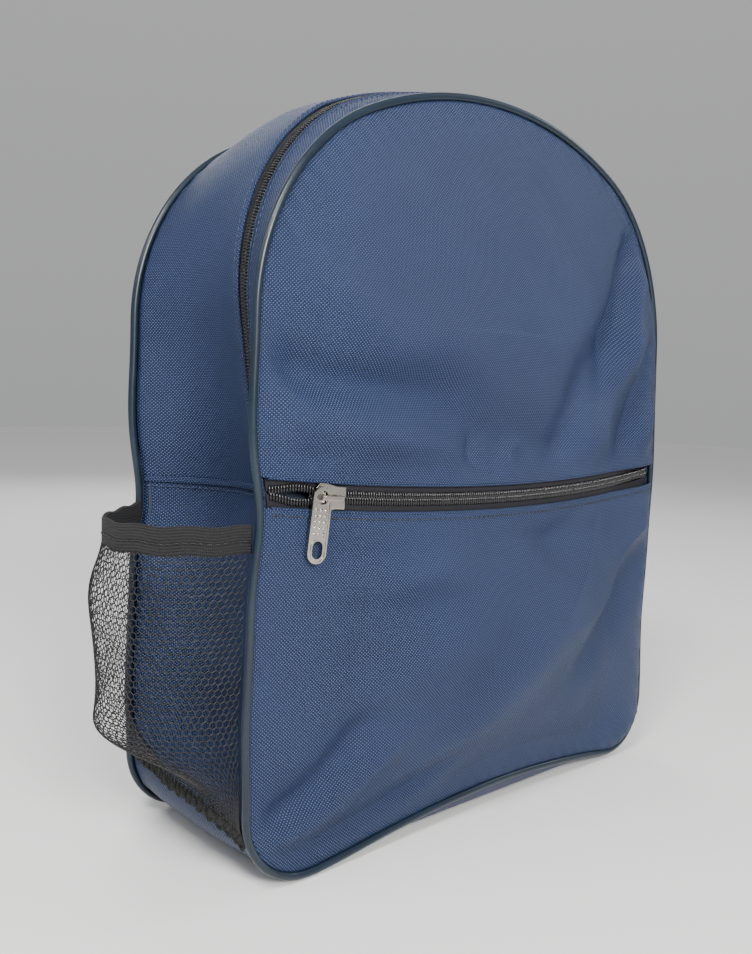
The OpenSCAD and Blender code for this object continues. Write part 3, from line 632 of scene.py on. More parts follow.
stitchX = np.linspace(-halfWidth + 0.004, halfWidth - 0.004, 300)
stitchZ = zipZ(stitchX) - pocketZip["cloth"] - front["stitchFromEdge"]
# The real stitch row below the pocket zip, in thicker black thread: its dark colour is painted
# shade of the stitch groove
pocketStitchWithGrooveShade = stitches("pocket panel stitching", *frontCurve(stitchX, stitchZ), radius=0.00034)
dress(pocketStitchWithGrooveShade, blackThread, "bag")
for panel, tall, area, extra in ((upperPanel, upperTall, upperArea, []),
                                 (pocketPanel, pocketTall, pocketArea, [pocketStitchWithGrooveShade])):
    2 * halfWidth

# The folded edges that stand beside the pocket zip
foldedEdge = ring(0.00065, 0.0008)
for name, sign in (("upper", 1), ("lower", -1)):
    z = zipZ(stitchX) + sign * pocketZip["cloth"]
    path, outs = frontCurve(stitchX, z)
    path[:, 1] += 0.0006
    side, out = frames(path, (0, -1, 0))
    fold = sweepObject(name + " folded edge", path, side, out, foldedEdge)
    dress(fold, navyCloth, "bag")
print("front panels made")

# piping
def pipingLoop(name, y, node):
    s = np.linspace(0, girth, 721)[:-1]
    x, z, nx, nz = seamAt(s)
    path = slump(np.stack([x + nx * pipe["standOut"], y + 0 * x, z + nz * pipe["standOut"]], -1))
    path[:, 2] = np.maximum(path[:, 2], pipe["radius"] + 0.0002)
    path[:, 1] += 0.0005 * ripple(s, 0 * s, 0.09)
    depth = np.tile([0.0, 1.0, 0.0], (len(s), 1))
    section = ring(pipe["radius"], pipe["radius"], pipe["sides"])
    loop = sweepObject(name, path, seamOut(s), depth, section, closed=True)
    dress(loop, pipingVinyl, "bag", [node])


pipingLoop("front piping", -halfDepth, "piping_front")
pipingLoop("rear piping", halfDepth, "piping_rear")

# side wall
zipY = (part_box("main_zip_coil_front")[0].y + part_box("main_zip_coil_rear")[1].y) / 2
wall = {"step": 0.0022, "rowStep": 0.0024, "thick": 0.0009, "seamGap": 0.0007, "zipCloth": 0.0055,
        "ripple": 0.0007, "pucker": 0.00035, "puckerPitch": 0.0115, "crease": 0.0013,
        "creasePitch": 0.034, "roll": 0.0011, "rollReach": 0.0016}


def wallWaves(s, y):
    x, z, _, nz = seamAt(s)
    seam = halfDepth - np.abs(y)
    waves = wall["ripple"] * ripple(s, y, 0.05) * smooth(seam, 0.003, 0.02)
    pucker = np.sin(s * fullTurn / wall["puckerPitch"] + 2.5 * np.sin(s * 31))
    waves = waves + wall["pucker"] * pucker * np.exp(-seam / 0.009) * smooth(seam, 0.0005, 0.003)
    nearZip = smooth(np.abs(y - zipY), 0.004, 0.020)
    overSide = smooth(z, 0.11, 0.17) * (1 - smooth(z, 0.25, 0.30)) * (x > 0)
    crease = wall["crease"] * np.sin(z * fullTurn / wall["creasePitch"] + y * 60)
    crease = crease * overSide * smooth(seam, 0.006, 0.026)
    aboveSplit = np.where(z > bag["splitZ"], nearZip, 1)
    return (waves + crease) * aboveSplit * np.where(nz < -0.7, 0.15, 1)


def wallStrip(name, s0, s1, y0, y1, node):
    cols = max(3, int(abs(s1 - s0) / wall["step"]))
    rows = max(3, int(abs(y1 - y0) / wall["rowStep"]) + 1)
    s, y = np.meshgrid(np.linspace(s0, s1, cols), np.linspace(y0, y1, rows), indexing="ij")
    roll = -wall["roll"] * np.exp(-(halfDepth - np.abs(y)) / wall["rollReach"])
    points = wallPoint(s, y, wallWaves(s, y) + roll)
    strip = sheetObject(name, points, np.stack([s, y], -1), wall["thick"])
    dress(strip, navyCloth, "bag", [node])
    abs(y1 - y0) + 0.006


seamEdge = halfDepth - wall["seamGap"]
lowEnd = 0.0002
wallStrip("front strip of the side wall", leftSplit, rightSplit, -seamEdge,
          zipY - wall["zipCloth"], "gusset_front_strip")
wallStrip("rear strip of the side wall", leftSplit, rightSplit, zipY + wall["zipCloth"],
          seamEdge, "gusset_rear_strip")
wallStrip("lower side wall", rightSplit + lowEnd, girth + leftSplit - lowEnd, -seamEdge,
          seamEdge, "lower_gusset")


def wallCurve(s0, s1, y, off=0.0, step=0.002):
    s = np.arange(s0, s1, step)
    y = np.full(len(s), y)
    return wallPoint(s, y, off + wallWaves(s, y)), seamOut(s)


mainZipEdges = (("front", zipY - wall["zipCloth"], -1), ("rear", zipY + wall["zipCloth"], 1))
for name, y, way in mainZipEdges:
    row = wallCurve(leftSplit + 0.004, rightSplit - 0.004, y + way * 0.0024)
    dress(stitches(name + " stitching of the main zip", *row), navyThread, "bag")

# Folded edges beside the main zip, and the seams that join the upper and lower walls
for name, y, way in mainZipEdges:
    path, outs = wallCurve(leftSplit + 0.002, rightSplit - 0.002, y, -0.0005)
    side, out = frames(path, outs)
    fold = sweepObject(name + " folded edge of the main zip", path, side, out, foldedEdge)
    dress(fold, navyCloth, "bag")
for name, at in (("left", leftSplit), ("right", rightSplit)):
    y = np.linspace(-seamEdge + 0.001, seamEdge - 0.001, 40)
    path = wallPoint(np.full(len(y), at), y, 0.0002)
    outs = seamOut(np.full(len(y), at))
    side, out = frames(path, outs)
    seam = sweepObject(name + " join seam", path, side, out, roundBar(0.0030, 0.0013, 0.45))
    dress(seam, navyCloth, "bag")
    lower = path + np.array([0, 0, -0.0032])
    dress(stitches(name + " join stitching", lower, outs), navyThread, "bag")
print("side wall made")

# zips
tooth = {"pitch": 0.00125, "outer": 0.0029, "over": 0.0006, "radius": 0.00050, "tape": 0.0110}


# Teeth on both tapes along a path; splitAt says how far open the rows stand
def zipTeeth(name, path, across, outs, splitAt, stands):
    length = distances(path)
    rows = []
    for sign in (1, -1):
        at = np.arange(0.001, length[-1] - 0.001, tooth["pitch"])
        at = at + (tooth["pitch"] / 2 if sign < 0 else 0)
        c, a, o = (pick(at, length, np.asarray(v, float)) for v in (path, across, outs))
        apart = splitAt(at)[:, None] * sign
        start = c + a * (sign * tooth["outer"] + apart) + o * 0.0002
        end = c + a * (-sign * tooth["over"] + apart) + o * 0.0004
        rows.append((start, end, o))
    starts, ends, o = (np.concatenate([r[k] for r in rows]) for k in range(3))
    coil = bars(name, starts, ends, o, tooth["radius"], flat=1.0, lift=0.0003)
    dress(coil, zipNylon, "bag", stands)


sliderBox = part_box("pocket_zip_slider")
sliderX = (sliderBox[0].x + sliderBox[1].x) / 2
zx = np.linspace(-halfWidth + 0.0035, halfWidth - 0.0035, 260)


def tapePlane(x, z):
    tuck = 0.0045 * smooth(np.abs(z - zipZ(x)), 0.0062, 0.0105)
    y = frontY(x, zipZ(x), False) + pocketZip["tapeIn"] + tuck
    return slump(np.stack([x, y + 0 * z, z], -1))


def pocketSplit(x):
    return 0.0017 * smooth(sliderX - x, 0.002, 0.014) * smooth(x + halfWidth, 0.004, 0.016)


for name, sign, node in (("upper", 1, "pocket_zip_tape_upper"),
                         ("lower", -1, "pocket_zip_tape_lower")):
    v = np.linspace(0.0005, tooth["tape"], 7)
    xx, vv = np.meshgrid(zx, v, indexing="ij")
    points = tapePlane(xx, zipZ(xx) + sign * (vv + pocketSplit(xx) * (1 - vv / tooth["tape"])))
    tape = sheetObject(name + " tape of the pocket zip", points, np.stack([xx, vv], -1), 0.0005,
                       flip=sign < 0)
    dress(tape, zipTape, "bag", [node])
    2 * halfWidth
pocketPath = tapePlane(zx, zipZ(zx))
pocketRuns = distances(pocketPath)
zipTeeth("coil of the pocket zip", pocketPath, np.tile([0, 0, 1.0], (len(zx), 1)),
         np.tile([0, -1.0, 0], (len(zx), 1)), lambda q: pocketSplit(np.interp(q, pocketRuns, zx)),
         ["pocket_zip_coil_upper", "pocket_zip_coil_lower"])

sUpper = np.linspace(leftSplit + 0.0015, rightSplit - 0.0015, 420)
for name, y0, y1, node in (("front", zipY - 0.0005, zipY - tooth["tape"], "main_zip_tape_front"),
                           ("rear", zipY + 0.0005, zipY + tooth["tape"], "main_zip_tape_rear")):
    ss, yy = np.meshgrid(sUpper, np.linspace(y0, y1, 7), indexing="ij")
    points = wallPoint(ss, yy, -pocketZip["tapeIn"] - 0.003 * smooth(np.abs(yy - zipY), 0.0060,
                                                                     0.0105))
    tape = sheetObject(name + " tape of the main zip", points, np.stack([ss, yy - zipY], -1),
                       0.0005, flip=name == "front")
    dress(tape, zipTape, "bag", [node])
mainPath = wallPoint(sUpper, np.full(len(sUpper), zipY), -pocketZip["tapeIn"])
mainRuns = distances(mainPath)
sliderSpots = [np.array((low + high) / 2) for low, high in
               (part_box("main_zip_slider_left"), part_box("main_zip_slider_right"))]
sliderRuns = sorted(mainRuns[np.argmin(np.linalg.norm(mainPath - spot, axis=1))]
                    for spot in sliderSpots)


def mainSplit(q):
    first, last = sliderRuns
    return 0.0016 * smooth(q, first + 0.002, first + 0.007) * (1 - smooth(q, last - 0.007,
                                                                          last - 0.002))


zipTeeth("coil of the main zip", mainPath, np.tile([0, 1.0, 0], (len(sUpper), 1)), seamOut(sUpper),
         mainSplit, ["main_zip_coil_front", "main_zip_coil_rear"])

# Tabs over the ends of the main zip
zipTab = {"start": 0.0003, "end": 0.0095, "half": 0.0058, "bulge": 0.0009, "thick": 0.0007}
for name, at, way, stands in (("left", leftSplit, 1, ["main_zip_end_patches"]),
                              ("right", rightSplit, -1, [])):
    ss, yy = np.meshgrid(np.linspace(at + way * zipTab["start"], at + way * zipTab["end"], 8),
                         np.linspace(zipY - zipTab["half"], zipY + zipTab["half"], 8),
                         indexing="ij")
    bulge = zipTab["bulge"] * (1 - ((yy - zipY) / zipTab["half"]) ** 2)
    tab = sheetObject(name + " zip end tab", wallPoint(ss, yy, 0.0001 + bulge),
                      np.stack([ss, yy], -1), zipTab["thick"], flip=way < 0)
    dress(tab, navyCloth, "bag", stands)
print("zips made")

# sliders and pulls keep their CAD shapes
for node in ("pocket_zip_slider", "pocket_zip_pull", "main_zip_slider_left", "main_zip_pull_left",
             "main_zip_slider_right", "main_zip_pull_right", "ladder_lock_left",
             "ladder_lock_right"):
    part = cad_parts[node]
    part.data.materials.clear()
    part.data.materials.append(acetal if node.startswith("ladder") else nickel)
    weld = part.modifiers.new("weld", "WELD")
    weld.merge_threshold = 5e-6
    bevel = part.modifiers.new("soft edges", "BEVEL")
    bevel.width = 0.0005 if node.startswith("ladder") else 0.00022
    bevel.segments, bevel.limit_method, bevel.angle_limit = 3, "ANGLE", math.radians(35)
for node in ("pocket_inner_wall", "back_lining", "seam_binding_front", "seam_binding_rear"):
    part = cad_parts[node]
    part.data.materials.clear()
    part.data.materials.append(liningCloth)

# bottle pockets
pocket = {
    "seamY": halfDepth - 0.0016 - pipe["radius"], "bottleRadius": 0.034, "bottleOut": 0.0015,
    "lowZ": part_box("mesh_hem_left")[0].z,
    "bandLow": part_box("elastic_band_left")[0].z, "bandTop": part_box("elastic_band_left")[1].z,
    "cell": 0.00255, "yarn": 0.00023, "leftFill": 1.0, "rightFill": 0.3, "hemRise": 0.011,
}
bottleY = -halfDepth + 0.0036 + pocket["bottleRadius"]


# Where the pocket's straight part meets the round of the bottle
def touchTurn(y, sign):
    dx, dy = 0 - pocket["bottleOut"], y - bottleY
    return math.atan2(dy, dx) + sign * math.acos(pocket["bottleRadius"] / math.hypot(dx, dy))


def pocketPlan(count):
    seam, radius = pocket["seamY"], pocket["bottleRadius"]
    turn = np.linspace(touchTurn(-seam, 1), touchTurn(seam, -1), 80)
    arc = np.stack([pocket["bottleOut"] + radius * np.cos(turn), bottleY + radius * np.sin(turn)],
                   1)
    line = np.concatenate([[[0, -seam]], arc, [[0, seam]]])
    s = distances(line)
    dense = pick(np.linspace(0, s[-1], count), s, line)
    for _ in range(14):
        dense[1:-1] = (dense[:-2] + dense[1:-1] + dense[2:]) / 3
    s = distances(dense)
    return pick(np.linspace(0, s[-1], count), s, dense), s[-1]


planPoints, planLength = pocketPlan(400)
planRun = np.linspace(0, planLength, 400)


# u is the way round the pocket from the front seam; sign is -1 on the left
def pocketSurface(u, z, fill, sign, off=0.0):
    q = np.interp(u, planRun, planPoints[:, 0])
    y = np.interp(u, planRun, planPoints[:, 1])
    full = 0.05 + 0.95 * smooth(z, 0.027, 0.074 - 0.010 * np.sin(u / planLength * math.pi))
    drop = np.sqrt(np.maximum(cornerRadius ** 2 - (cornerZ - z) ** 2, 0))
    corner = np.where(z < cornerZ, cornerRadius - drop, 0)
    share = 1 - (y / halfDepth) ** 2
    bulge = bag["sideCrown"] * share * (0.6 if sign < 0 else 1.0)
    middle = np.sin(math.pi * u / planLength)
    belly = 0.0042 * np.clip(middle, 0, 1) ** 1.5 * np.exp(-((z - 0.112) / 0.017) ** 2)
    belly = belly * (fill > 0.5)
    underBand = 1 - smooth(z, pocket["bandLow"] - 0.012, pocket["bandLow"])
    rumple = 0.0012 * ripple(u, z, 0.04) * middle * underBand
    out = bulge + off + q * fill * full + belly + rumple
    x = -halfWidth + corner * (1 - full) - out
    lowEdge = pocket["hemRise"] * (np.clip(u, 0, planLength) / planLength) ** 1.2
    netTall = pocket["bandLow"] - pocket["lowZ"]
    z = z + lowEdge * np.clip((pocket["bandLow"] - z) / netTall, 0, 1)
    return slump(np.stack([-sign * x, y + 0 * z, z + 0 * x], -1))


def insideNet(p, low, high):
    u, z = p[:, 0], p[:, 1]
    return (u > -0.0002) & (u < planLength + 0.0002) & (z > low - 0.001) & (z < high + 0.001)


# Small uneven shifts of the net's knots
def jitter(p):
    u, z = p[:, 0], p[:, 1]
    return p + 0.00016 * np.stack([np.sin(u * 4100 + z * 900), np.sin(z * 3700 - u * 1300)], 1)


def netObject(name, fill, sign):
    cell = pocket["cell"]
    rowPitch = cell * 0.95
    low, high = pocket["lowZ"] + 0.002, pocket["bandLow"] + 0.003
    across, up = int(planLength / cell) + 1, int((high - low) / rowPitch) + 2
    starts, ends = [], []
    for j in range(up):
        v = low + j * rowPitch
        shift = 0.5 * (j % 2)
        for i in range(across + 1):
            u = (i + shift) * cell
            top, nextRow = (u, v + rowPitch * 0.30), v + rowPitch * 0.70
            starts += [(u, v - rowPitch * 0.30), top, top]
            ends += [top, (u + cell / 2, nextRow), (u - cell / 2, nextRow)]
    starts, ends = np.array(starts), np.array(ends)
    ok = insideNet(starts, low, high) & insideNet(ends, low, high)
    starts, ends = jitter(starts[ok]), jitter(ends[ok])
    a = pocketSurface(starts[:, 0], starts[:, 1], fill, sign, 0.0012)
    b = pocketSurface(ends[:, 0], ends[:, 1], fill, sign, 0.0012)
    run, yarn = unit(b - a), pocket["yarn"]
    a, b = a - run * yarn * 0.6, b + run * yarn * 0.6
    guess = np.stack([np.full(len(a), float(sign)), 10 * (a[:, 1] - bottleY), 0 * a[:, 0]], 1)
    side = unit(np.cross(run, guess))
    out = np.cross(side, run)
    corners = [(-1.15, 0), (0, 0.85), (1.15, 0), (0, -0.85)]
    verts = np.stack([p + side * wide * yarn + out * high * yarn
                      for p in (a, b) for wide, high in corners], 1)
    faces = []
    for n in range(len(a)):
        k = n * 8
        faces += [[k + m, k + (m + 1) % 4, k + 4 + (m + 1) % 4, k + 4 + m] for m in range(4)]
    return addObject(name, verts.reshape(-1, 3), faces), len(a)


def bandObject(name, fill, sign):
    u = np.linspace(-0.0008, planLength + 0.0008, 150)
    profile = roundBar(pocket["bandTop"] - pocket["bandLow"], 0.0016, 0.4)
    middle = (pocket["bandTop"] + pocket["bandLow"]) / 2
    wave = 0.0004 * np.sin(u / planLength * 40)
    path = pocketSurface(np.clip(u, 0, planLength), middle + wave, fill, sign, 0.0013)
    flatRun = unit(unit(np.gradient(path, axis=0)) * [1, 1, 0])
    upward = np.tile([0, 0, 1.0], (len(u), 1))
    outward = np.cross(upward, flatRun)
    if outward[len(u) // 2][0] * sign < 0:
        outward = -outward
    return sweepObject(name, path, upward, outward, profile), path, outward


for side, sign, fill in (("left", -1, pocket["leftFill"]), ("right", 1, pocket["rightFill"])):
    net, strands = netObject(side + " pocket net", fill, sign)
    dress(net, netYarn, "bag", ["mesh_pocket_" + side])
    tall = pocket["bandLow"] - pocket["lowZ"]
    tall + 0.004
    side + "_pocket_band"
    band, path, outward = bandObject(side + " pocket band", fill, sign)
    dress(band, elasticKnit, "bag", ["elastic_band_" + side])
    pocket["bandTop"] - pocket["bandLow"]
    row = stitches(side + " band stitching", path - [0, 0, 0.0008], outward, lift=0.0009)
    dress(row, blackThread, "bag")
    # The gathered lower edge: a puckered cord of net and tape
    u = np.linspace(0, planLength, 260)
    z = pocket["lowZ"] + 0.0030 + 0.0008 * np.sin(u * 900)
    path = pocketSurface(u, z, fill, sign, 0.0014)
    sideways, out = frames(path, (sign, 0, 0))
    size = 0.0017 + 0.0005 * np.sin(u * 2600) + 0.0003 * np.sin(u * 5100 + 1)
    section = size[:, None, None] * ring(1.5, 0.7)
    hem = sweepObject(side + " pocket hem", path, sideways, out, section)
    dress(hem, elasticKnit, "bag", ["mesh_hem_" + side])
    print(side, "pocket made,", strands, "strands")

# back
back = {"y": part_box("back_panel_fabric")[1].y, "inset": 0.0020, "thick": 0.0008, "roll": 0.008,
        "channelX": 0.045, "channelWidth": 0.0022, "channelDeep": 0.0018}
turn = np.linspace(-math.pi / 2, math.pi / 2, 150)
x = (halfWidth - back["inset"]) * np.sin(turn) * 0.9995
v = np.linspace(0, 1, 170)
z0, z1 = bottomZ(x) + back["inset"], topZ(x, back["inset"])
zz = z0[:, None] + (z1 - z0)[:, None] * v[None]
xx = np.repeat(x[:, None], len(v), 1)
edge = np.minimum(edgeDistance(xx, zz), zz - bottomZ(xx))
channel = np.exp(-((np.abs(xx) - back["channelX"]) / back["channelWidth"]) ** 2)
channel = channel * smooth(zz, 0.030, 0.040) * (1 - smooth(zz, 0.262, 0.272))
roll = np.sqrt(1 - (1 - np.clip(edge / back["roll"], 0, 1)) ** 2)
y = halfDepth - 0.0002 + (back["y"] - halfDepth) * roll - back["channelDeep"] * channel
y = y + 0.0004 * ripple(xx, zz, 0.05) * smooth(edge, 0.004, 0.02)
backPanel = sheetObject("back panel", slump(np.stack([xx, y, zz], -1)), np.stack([xx, zz], -1),
                        back["thick"], flip=True)
dress(backPanel, navyCloth, "bag", ["back_panel_fabric", "back_foam"])
backNormal = [0.0, 1.0, 0.0]
for line in (-back["channelX"], back["channelX"]):
    z = np.linspace(0.034, 0.268, 120)
    path = np.stack([0 * z + line, 0 * z + back["y"] - back["channelDeep"] + 0.0002, z], 1)
    row = stitches("back channel stitching", path, np.tile(backNormal, (len(z), 1)))
    dress(row, navyThread, "bag")


# A flat patch on the back from its corners in x and z, with a stitched line inside its edge
def backPatch(name, corners, low, high, extra, node):
    corners = np.array(corners, float)
    y, thick = low.y - 0.0001, high.y - low.y + extra
    centreAt = corners.mean(0)
    rings = []
    for scale, lift in ((0.0, 1.0), (0.5, 1.0), (0.93, 0.95), (0.985, 0.6), (1.0, 0.0)):
        edge = np.array([centreAt + (a + (b - a) * t - centreAt) * scale
                         for a, b in zip(corners, np.roll(corners, -1, 0))
                         for t in np.linspace(0, 1, 9)[:-1]])
        rings.append(np.stack([edge[:, 0], y + thick * lift + 0 * edge[:, 0], edge[:, 1]], 1))
    points = np.stack(rings)
    faces = gridFaces(len(rings), points.shape[1], False, True)
    points = points.reshape(-1, 3)
    patch = addObject(name, points, faces, points[:, [0, 2]])
    dress(patch, navyCloth, "bag", [node])
    toCorner = np.min(np.linalg.norm(corners - centreAt, axis=1))
    inner = centreAt + (corners - centreAt) * (1 - stitch["fromEdge"] * 1.3 / toCorner)
    path = np.concatenate([np.linspace(a, b, 20) for a, b in zip(inner, np.roll(inner, -1, 0))])
    path = np.stack([path[:, 0], y + thick + 0 * path[:, 0], path[:, 1]], 1)
    row = stitches(name + " stitching", path, np.tile(backNormal, (len(path), 1)))
    dress(row, navyThread, "bag")
    size = corners.max(0) - corners.min(0)


lo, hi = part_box("strap_yoke_patch")
taper = 0.012
corners = [(lo.x, lo.z), (hi.x, lo.z), (hi.x - taper, hi.z), (lo.x + taper, hi.z)]
backPatch("strap yoke", corners, lo, hi, 0.0005, "strap_yoke_patch")
for side, sign in (("left", -1), ("right", 1)):
    lo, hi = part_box("strap_anchor_" + side)
    outX, inX = (hi.x, lo.x) if sign > 0 else (lo.x, hi.x)
    corners = [(outX, lo.z + 0.018), (outX, hi.z), (outX - sign * 0.026, hi.z - 0.012),
               (inX, lo.z), (outX - sign * 0.018, lo.z)]
    backPatch(side + " strap anchor", corners, lo, hi, 0.0004, "strap_anchor_" + side)
print("back made")


# straps and webbing
strap = {
    "top": (0.042, back["y"] + 0.007, 0.267), "end": (0.086, back["y"] + 0.010, 0.092),
    "bow": 0.034, "width": 0.046, "thick": 0.0080, "webbing": 0.020, "rowX": 0.0085,
    "loopRadius": 0.0026,
}
webbingSection = roundBar(strap["webbing"], 0.0014, 0.4)


def strapLine(t):
    top, end = np.array(strap["top"]), np.array(strap["end"])
    t = np.asarray(t, float)
    return np.stack([top[0] + (end[0] - top[0]) * np.maximum(t, 0) ** 1.5,
                     top[1] + (end[1] - top[1]) * t + strap["bow"] * np.sin(math.pi * t),
                     top[2] + (end[2] - top[2]) * t], -1)


def strapFrames(t):
    path = strapLine(t)
    side = np.tile([1.0, 0, 0], (len(t), 1))
    out = unit(np.cross(unit(np.gradient(path, axis=0)), side))
    if out[len(t) // 2][1] < 0:
        out = -out
    return path, side, out


def mirrored(points, sign):
    return np.asarray(points) * np.array([sign, 1, 1])


# A strip of webbing on the side that sign names, from a path on the right
def webStrip(name, path, sideways, outward, sign):
    return sweepObject(name, mirrored(path, sign), mirrored(sideways, sign), outward,
                       webbingSection)


def sewnRow(name, path, outs, material, body, sign):
    dress(stitches(name, mirrored(path, sign), outs), material, body)


for side, sign in (("left", -1), ("right", 1)):
    body = side + " strap"
    t = np.linspace(0, 1, 110)
    path, across, out = strapFrames(t)
    halfSpan = strap["width"] / 2 - 0.003 * t - 0.009 * smooth(t, 0.86, 1.0) ** 2
    thick = strap["thick"] * (1 - 0.5 * smooth(t, 0.90,
                                               1.0)) * (1 - 0.35 * (1 - smooth(t, 0, 0.04)))
    c, s = ring(1, 1, 40).T
    wide = np.sign(c) * np.abs(c) ** 0.55
    high = np.sign(s) * np.abs(s) ** 0.8
    waves = 1 + 0.04 * np.sin(t * 60)[:, None]
    section = np.stack([halfSpan[:, None] * wide, thick[:, None] / 2 * high * waves], -1)
    pad = sweepObject(side + " shoulder strap", mirrored(path, sign), mirrored(across, sign), out,
                      section)
    if sign < 0:
        pad.data.flip_normals()
    dress(pad, navyCloth, body, ["strap_pad_" + side])
    for edge in (-1, 1):
        edgePath = path + across * (halfSpan * edge * 0.985)[:, None]
        binding = np.asarray(roundBar(0.0042, 0.0105, 0.30))
        grow = (thick / strap["thick"])[:, None, None] * np.array([1.0, 0.42])
        tape = sweepObject(side + " strap binding", mirrored(edgePath, sign),
                           mirrored(across, sign),
                           out, binding[None] * grow)
        dress(tape, blackWebbing, body)
        row = edgePath - across * edge * 0.0030 + out * (thick / 2 * 0.86 + 0.0002)[:, None]
        sewnRow(side + " strap edge stitching", row[2:-2], out[2:-2], navyThread, body,
                sign)
    # The neck that joins the strap to the yoke
    neckEnd = strapLine(np.array([0.045]))[0]
    neckStart = np.array([strap["top"][0], back["y"] + 0.0004, 0.2850])
    q = np.linspace(0, 1, 16)[:, None]
    neck = neckStart + (neckEnd - neckStart) * q
    neck[:, 1:2] = neckStart[1] + 0.0008 + (neckEnd[1] - neckStart[1] - 0.0008) * smooth(q, 0.22,
                                                                                         1.0)
    sideways, outward = frames(neck, (0, 1, 0))
    neckThick = 0.0016 + 0.0046 * smooth(q, 0.25, 0.9)
    section = np.stack([halfSpan[0] * 0.985 * wide + 0 * q, neckThick / 2 * high], -1)
    neckPiece = sweepObject(side + " strap neck", mirrored(neck, sign), mirrored(sideways, sign),
                            mirrored(outward, sign), section)
    dress(neckPiece, navyCloth, None)
    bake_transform(neckPiece)
    # Webbing along the lower half, sewn down at its top end, and round the lock's bar
    lower = np.linspace(0.48, 1.0, 70)
    path, across, out = strapFrames(lower)
    thickLow = strap["thick"] * (1 - 0.5 * smooth(lower, 0.90, 1.0))
    web = path + out * (thickLow / 2 + 0.0009)[:, None]
    lockLow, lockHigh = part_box("strap_loop_" + side)
    barCentre = np.array((lockLow + lockHigh) / 2) * [sign, 1, 1]
    loopTurn, radius = np.radians(np.linspace(20, -250, 26)), strap["loopRadius"]
    loopPath = np.stack([0 * loopTurn, radius * np.cos(loopTurn), radius * np.sin(loopTurn)], 1)
    loopPath = barCentre + loopPath
    blendIn = np.linspace(web[-1], loopPath[0], 6)[1:-1]
    full = np.concatenate([web, blendIn, loopPath])
    outs = unit(np.concatenate([out, np.tile(out[-1], (4, 1)), (loopPath - barCentre) / radius]))
    webbing = webStrip(side + " strap webbing", full, np.tile([1.0, 0, 0], (len(full), 1)), outs,
                       sign)
    dress(webbing, blackWebbing, body, ["strap_webbing_" + side, "strap_loop_" + side])
    side + "_shoulder_strap"
    rowX = strap["rowX"]
    for edge in (-1, 1):
        row = web + across * edge * rowX + out * 0.0008
        sewnRow(side + " webbing stitching", row[1:-12], out[1:-12], blackThread, body,
                sign)
    # The sewn box with its cross: sideways place, then point along the webbing
    box = [(-rowX, 2), (rowX, 2), (-rowX, 16), (rowX, 16), (-rowX, 2)]
    corners = [web[at] + across[at] * aside + out[8] * 0.0010 for aside, at in box]
    row = np.concatenate([np.linspace(a, b, 12) for a, b in zip(corners, corners[1:])])
    sewnRow(side + " webbing box stitching", row, np.tile(out[8], (len(row), 1)), blackThread, body,
            sign)

    # Webbing from the lock to the bottom corner
    lock = np.array([abs((lockLow.x + lockHigh.x) / 2), barCentre[1], barCentre[2]])
    start = lock + [0, -0.0030, -0.0095]
    end = np.array([halfWidth - 0.016, back["y"] + 0.0018, 0.027])
    q = np.linspace(0, 1, 40)[:, None]
    line = start + (end - start) * q + [0, 0.0030, 0] * np.sin(math.pi * q) + [0, 0.0004, 0] * q
    sideways, outward = frames(line, (0, 1, 0))
    lowerWeb = webStrip(side + " lower webbing", line, sideways, mirrored(outward, sign), sign)
    dress(lowerWeb, blackWebbing, None, ["lower_webbing_" + side])
    "ladder_lock_" + side
    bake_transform(lowerWeb)

    # The loose tail: over the lock's bar and down
    top = lock + [0, 0.0030, -0.0095]
    q = np.linspace(0, 1, 46)[:, None]
    drop = top[2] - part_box("strap_tail_" + side)[0].z
    tail = top + [0.006, 0.0, -drop] * q + [0, 0.0085, 0] * q ** 2
    tail = tail - [0, 0.0030, 0] * np.sin(math.pi * q)
    over = lock + np.array([[0, -0.0026, -0.0098], [0, -0.0012, -0.0080], [0, 0.0014, -0.0078]])
    tail = np.concatenate([over, tail])
    sideways, outward = frames(tail, (0, 1, 0.15))
    tailWeb = webStrip(side + " strap tail", tail, sideways, mirrored(outward, sign), sign)
    dress(tailWeb, blackWebbing, side + " lock", ["strap_tail_" + side])
    "ladder_lock_" + side
print("straps made")

# carrying loop
lo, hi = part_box("haul_loop")
loop = {"webbing": 0.020, "thick": 0.0017, "rowX": 0.008}
loopY = (lo.y + hi.y) / 2
legX, crossZ = hi.x - loop["webbing"] / 2, lo.z + loop["webbing"] / 2
loopSection = roundBar(loop["webbing"], loop["thick"] * 0.6, 0.4)


def loopPart(name, path, stands):
    side, out = frames(path, (0, 1, 0))
    part = sweepObject(name, path, side, out, loopSection)
    dress(part, blackWebbing, "haul loop", stands)


for sign, stands in ((-1, ["haul_loop"]), (1, [])):
    z = np.linspace(hi.z - 0.001, lo.z + 0.0008, 30)
    path = np.stack([0 * z + sign * legX, loopY + 0.0004 * np.sin(z * 300), z], 1)
    loopPart("carrying loop leg", path, stands)
x = np.linspace(-hi.x + 0.0008, hi.x - 0.0008, 40)
path = np.stack([x, loopY + loop["thick"] * 0.62 + 0 * x, crossZ + 0 * x], 1)
loopPart("carrying loop hand", path, [])
for sign in (-1, 1):
    inner, outer = sign * (legX - loop["rowX"]), sign * (legX + loop["rowX"])
    low, high = crossZ - loop["rowX"], crossZ + loop["rowX"]
    corners = [(x, loopY + loop["thick"], z) for x, z in
               ((inner, low), (outer, low), (outer, high), (inner, high), (inner, low))]
    row = np.concatenate([np.linspace(a, b, 12) for a, b in zip(corners, corners[1:])])
    row = stitches("carrying loop stitching", row, np.tile(backNormal, (len(row), 1)))
    dress(row, blackThread, "haul loop")
print("carrying loop made")

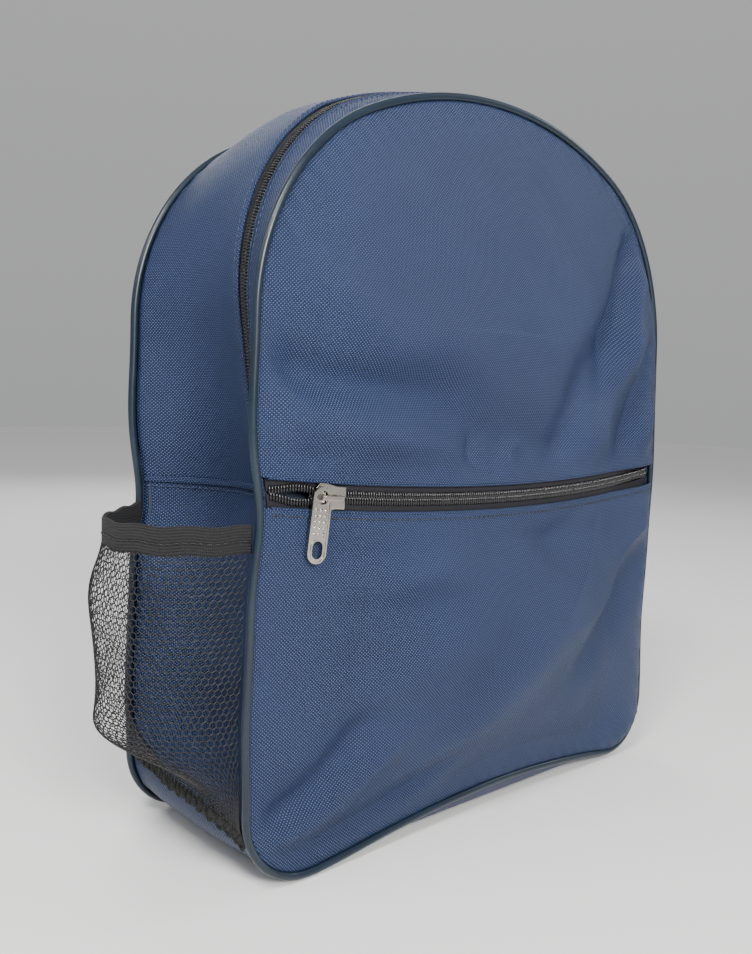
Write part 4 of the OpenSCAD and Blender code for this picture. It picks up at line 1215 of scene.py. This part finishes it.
# floor, light and camera
floorMaterial, w, shader = startMaterial("studio floor", {"Specular IOR Level": 0.3})
solid = w.objectPlace()
floorColor = w.mixColor(w.noise(solid, 3.0), (0.80, 0.80, 0.80, 1), (0.84, 0.84, 0.84, 1))
finishMaterial(w, shader, color=floorColor, roughness=w.noise(solid, 40.0) * 0.1 + 0.6)
floor = addObject("floor", [(-4, -4, 0), (4, -4, 0), (4, 4, 0), (-4, 4, 0)], [[0, 1, 2, 3]],
                  smoothShade=False)
floor.data.materials.append(floorMaterial)

world = bpy.data.worlds.new("studio")
bpy.context.scene.world = world
world.use_nodes = True
sky = Wire(world.node_tree)
_, height = sky.node("ShaderNodeTexCoord").parts(2)
shade = sky.mixColor((height * 0.5 + 0.5).clamp(), (0.50, 0.51, 0.53, 1), (1.0, 1.0, 1.0, 1))
background = world.node_tree.nodes["Background"]
world.node_tree.links.new(shade.socket, background.inputs["Color"])
background.inputs["Strength"].default_value = 0.54


def addLight(name, place, size, power, tint=(1, 1, 1), aim=(0, 0, 0.16)):
    data = bpy.data.lights.new(name, "AREA")
    data.shape, data.size, data.energy, data.color = "DISK", size, power, tint
    light = bpy.data.objects.new(name, data)
    bpy.context.collection.objects.link(light)
    light.location = place
    light.rotation_euler = (Vector(aim) - Vector(place)).to_track_quat("-Z", "Y").to_euler()


addLight("top", (-0.75, -0.42, 1.05), 0.30, 13, (1, 0.98, 0.95))
addLight("key", (-0.42, -1.05, 0.66), 0.34, 22, (1, 0.98, 0.95))
addLight("side", (1.25, -0.45, 0.95), 0.5, 4, (0.95, 0.97, 1))
addLight("rim", (-1.1, 0.30, 0.9), 0.5, 3.5, (0.95, 0.98, 1))
addLight("back fill", (0.5, 1.2, 0.9), 1.0, 7)

view = {"place": (-0.337, -0.337, 0.196), "yaw": -42.3, "down": 4.9, "roll": 1.8, "lens": 36.08}
cameraData = bpy.data.cameras.new("camera")
cameraData.lens, cameraData.sensor_width = view["lens"], 36.0
cameraData.clip_start = 0.01
camera = bpy.data.objects.new("camera", cameraData)
bpy.context.collection.objects.link(camera)
turned = (Matrix.Rotation(math.radians(view["yaw"]), 4, "Z")
          @ Matrix.Rotation(math.radians(90 - view["down"]), 4, "X")
          @ Matrix.Rotation(math.radians(view["roll"]), 4, "Z"))
camera.matrix_world = Matrix.Translation(Vector(view["place"])) @ turned
bpy.context.scene.camera = camera
print("studio made")
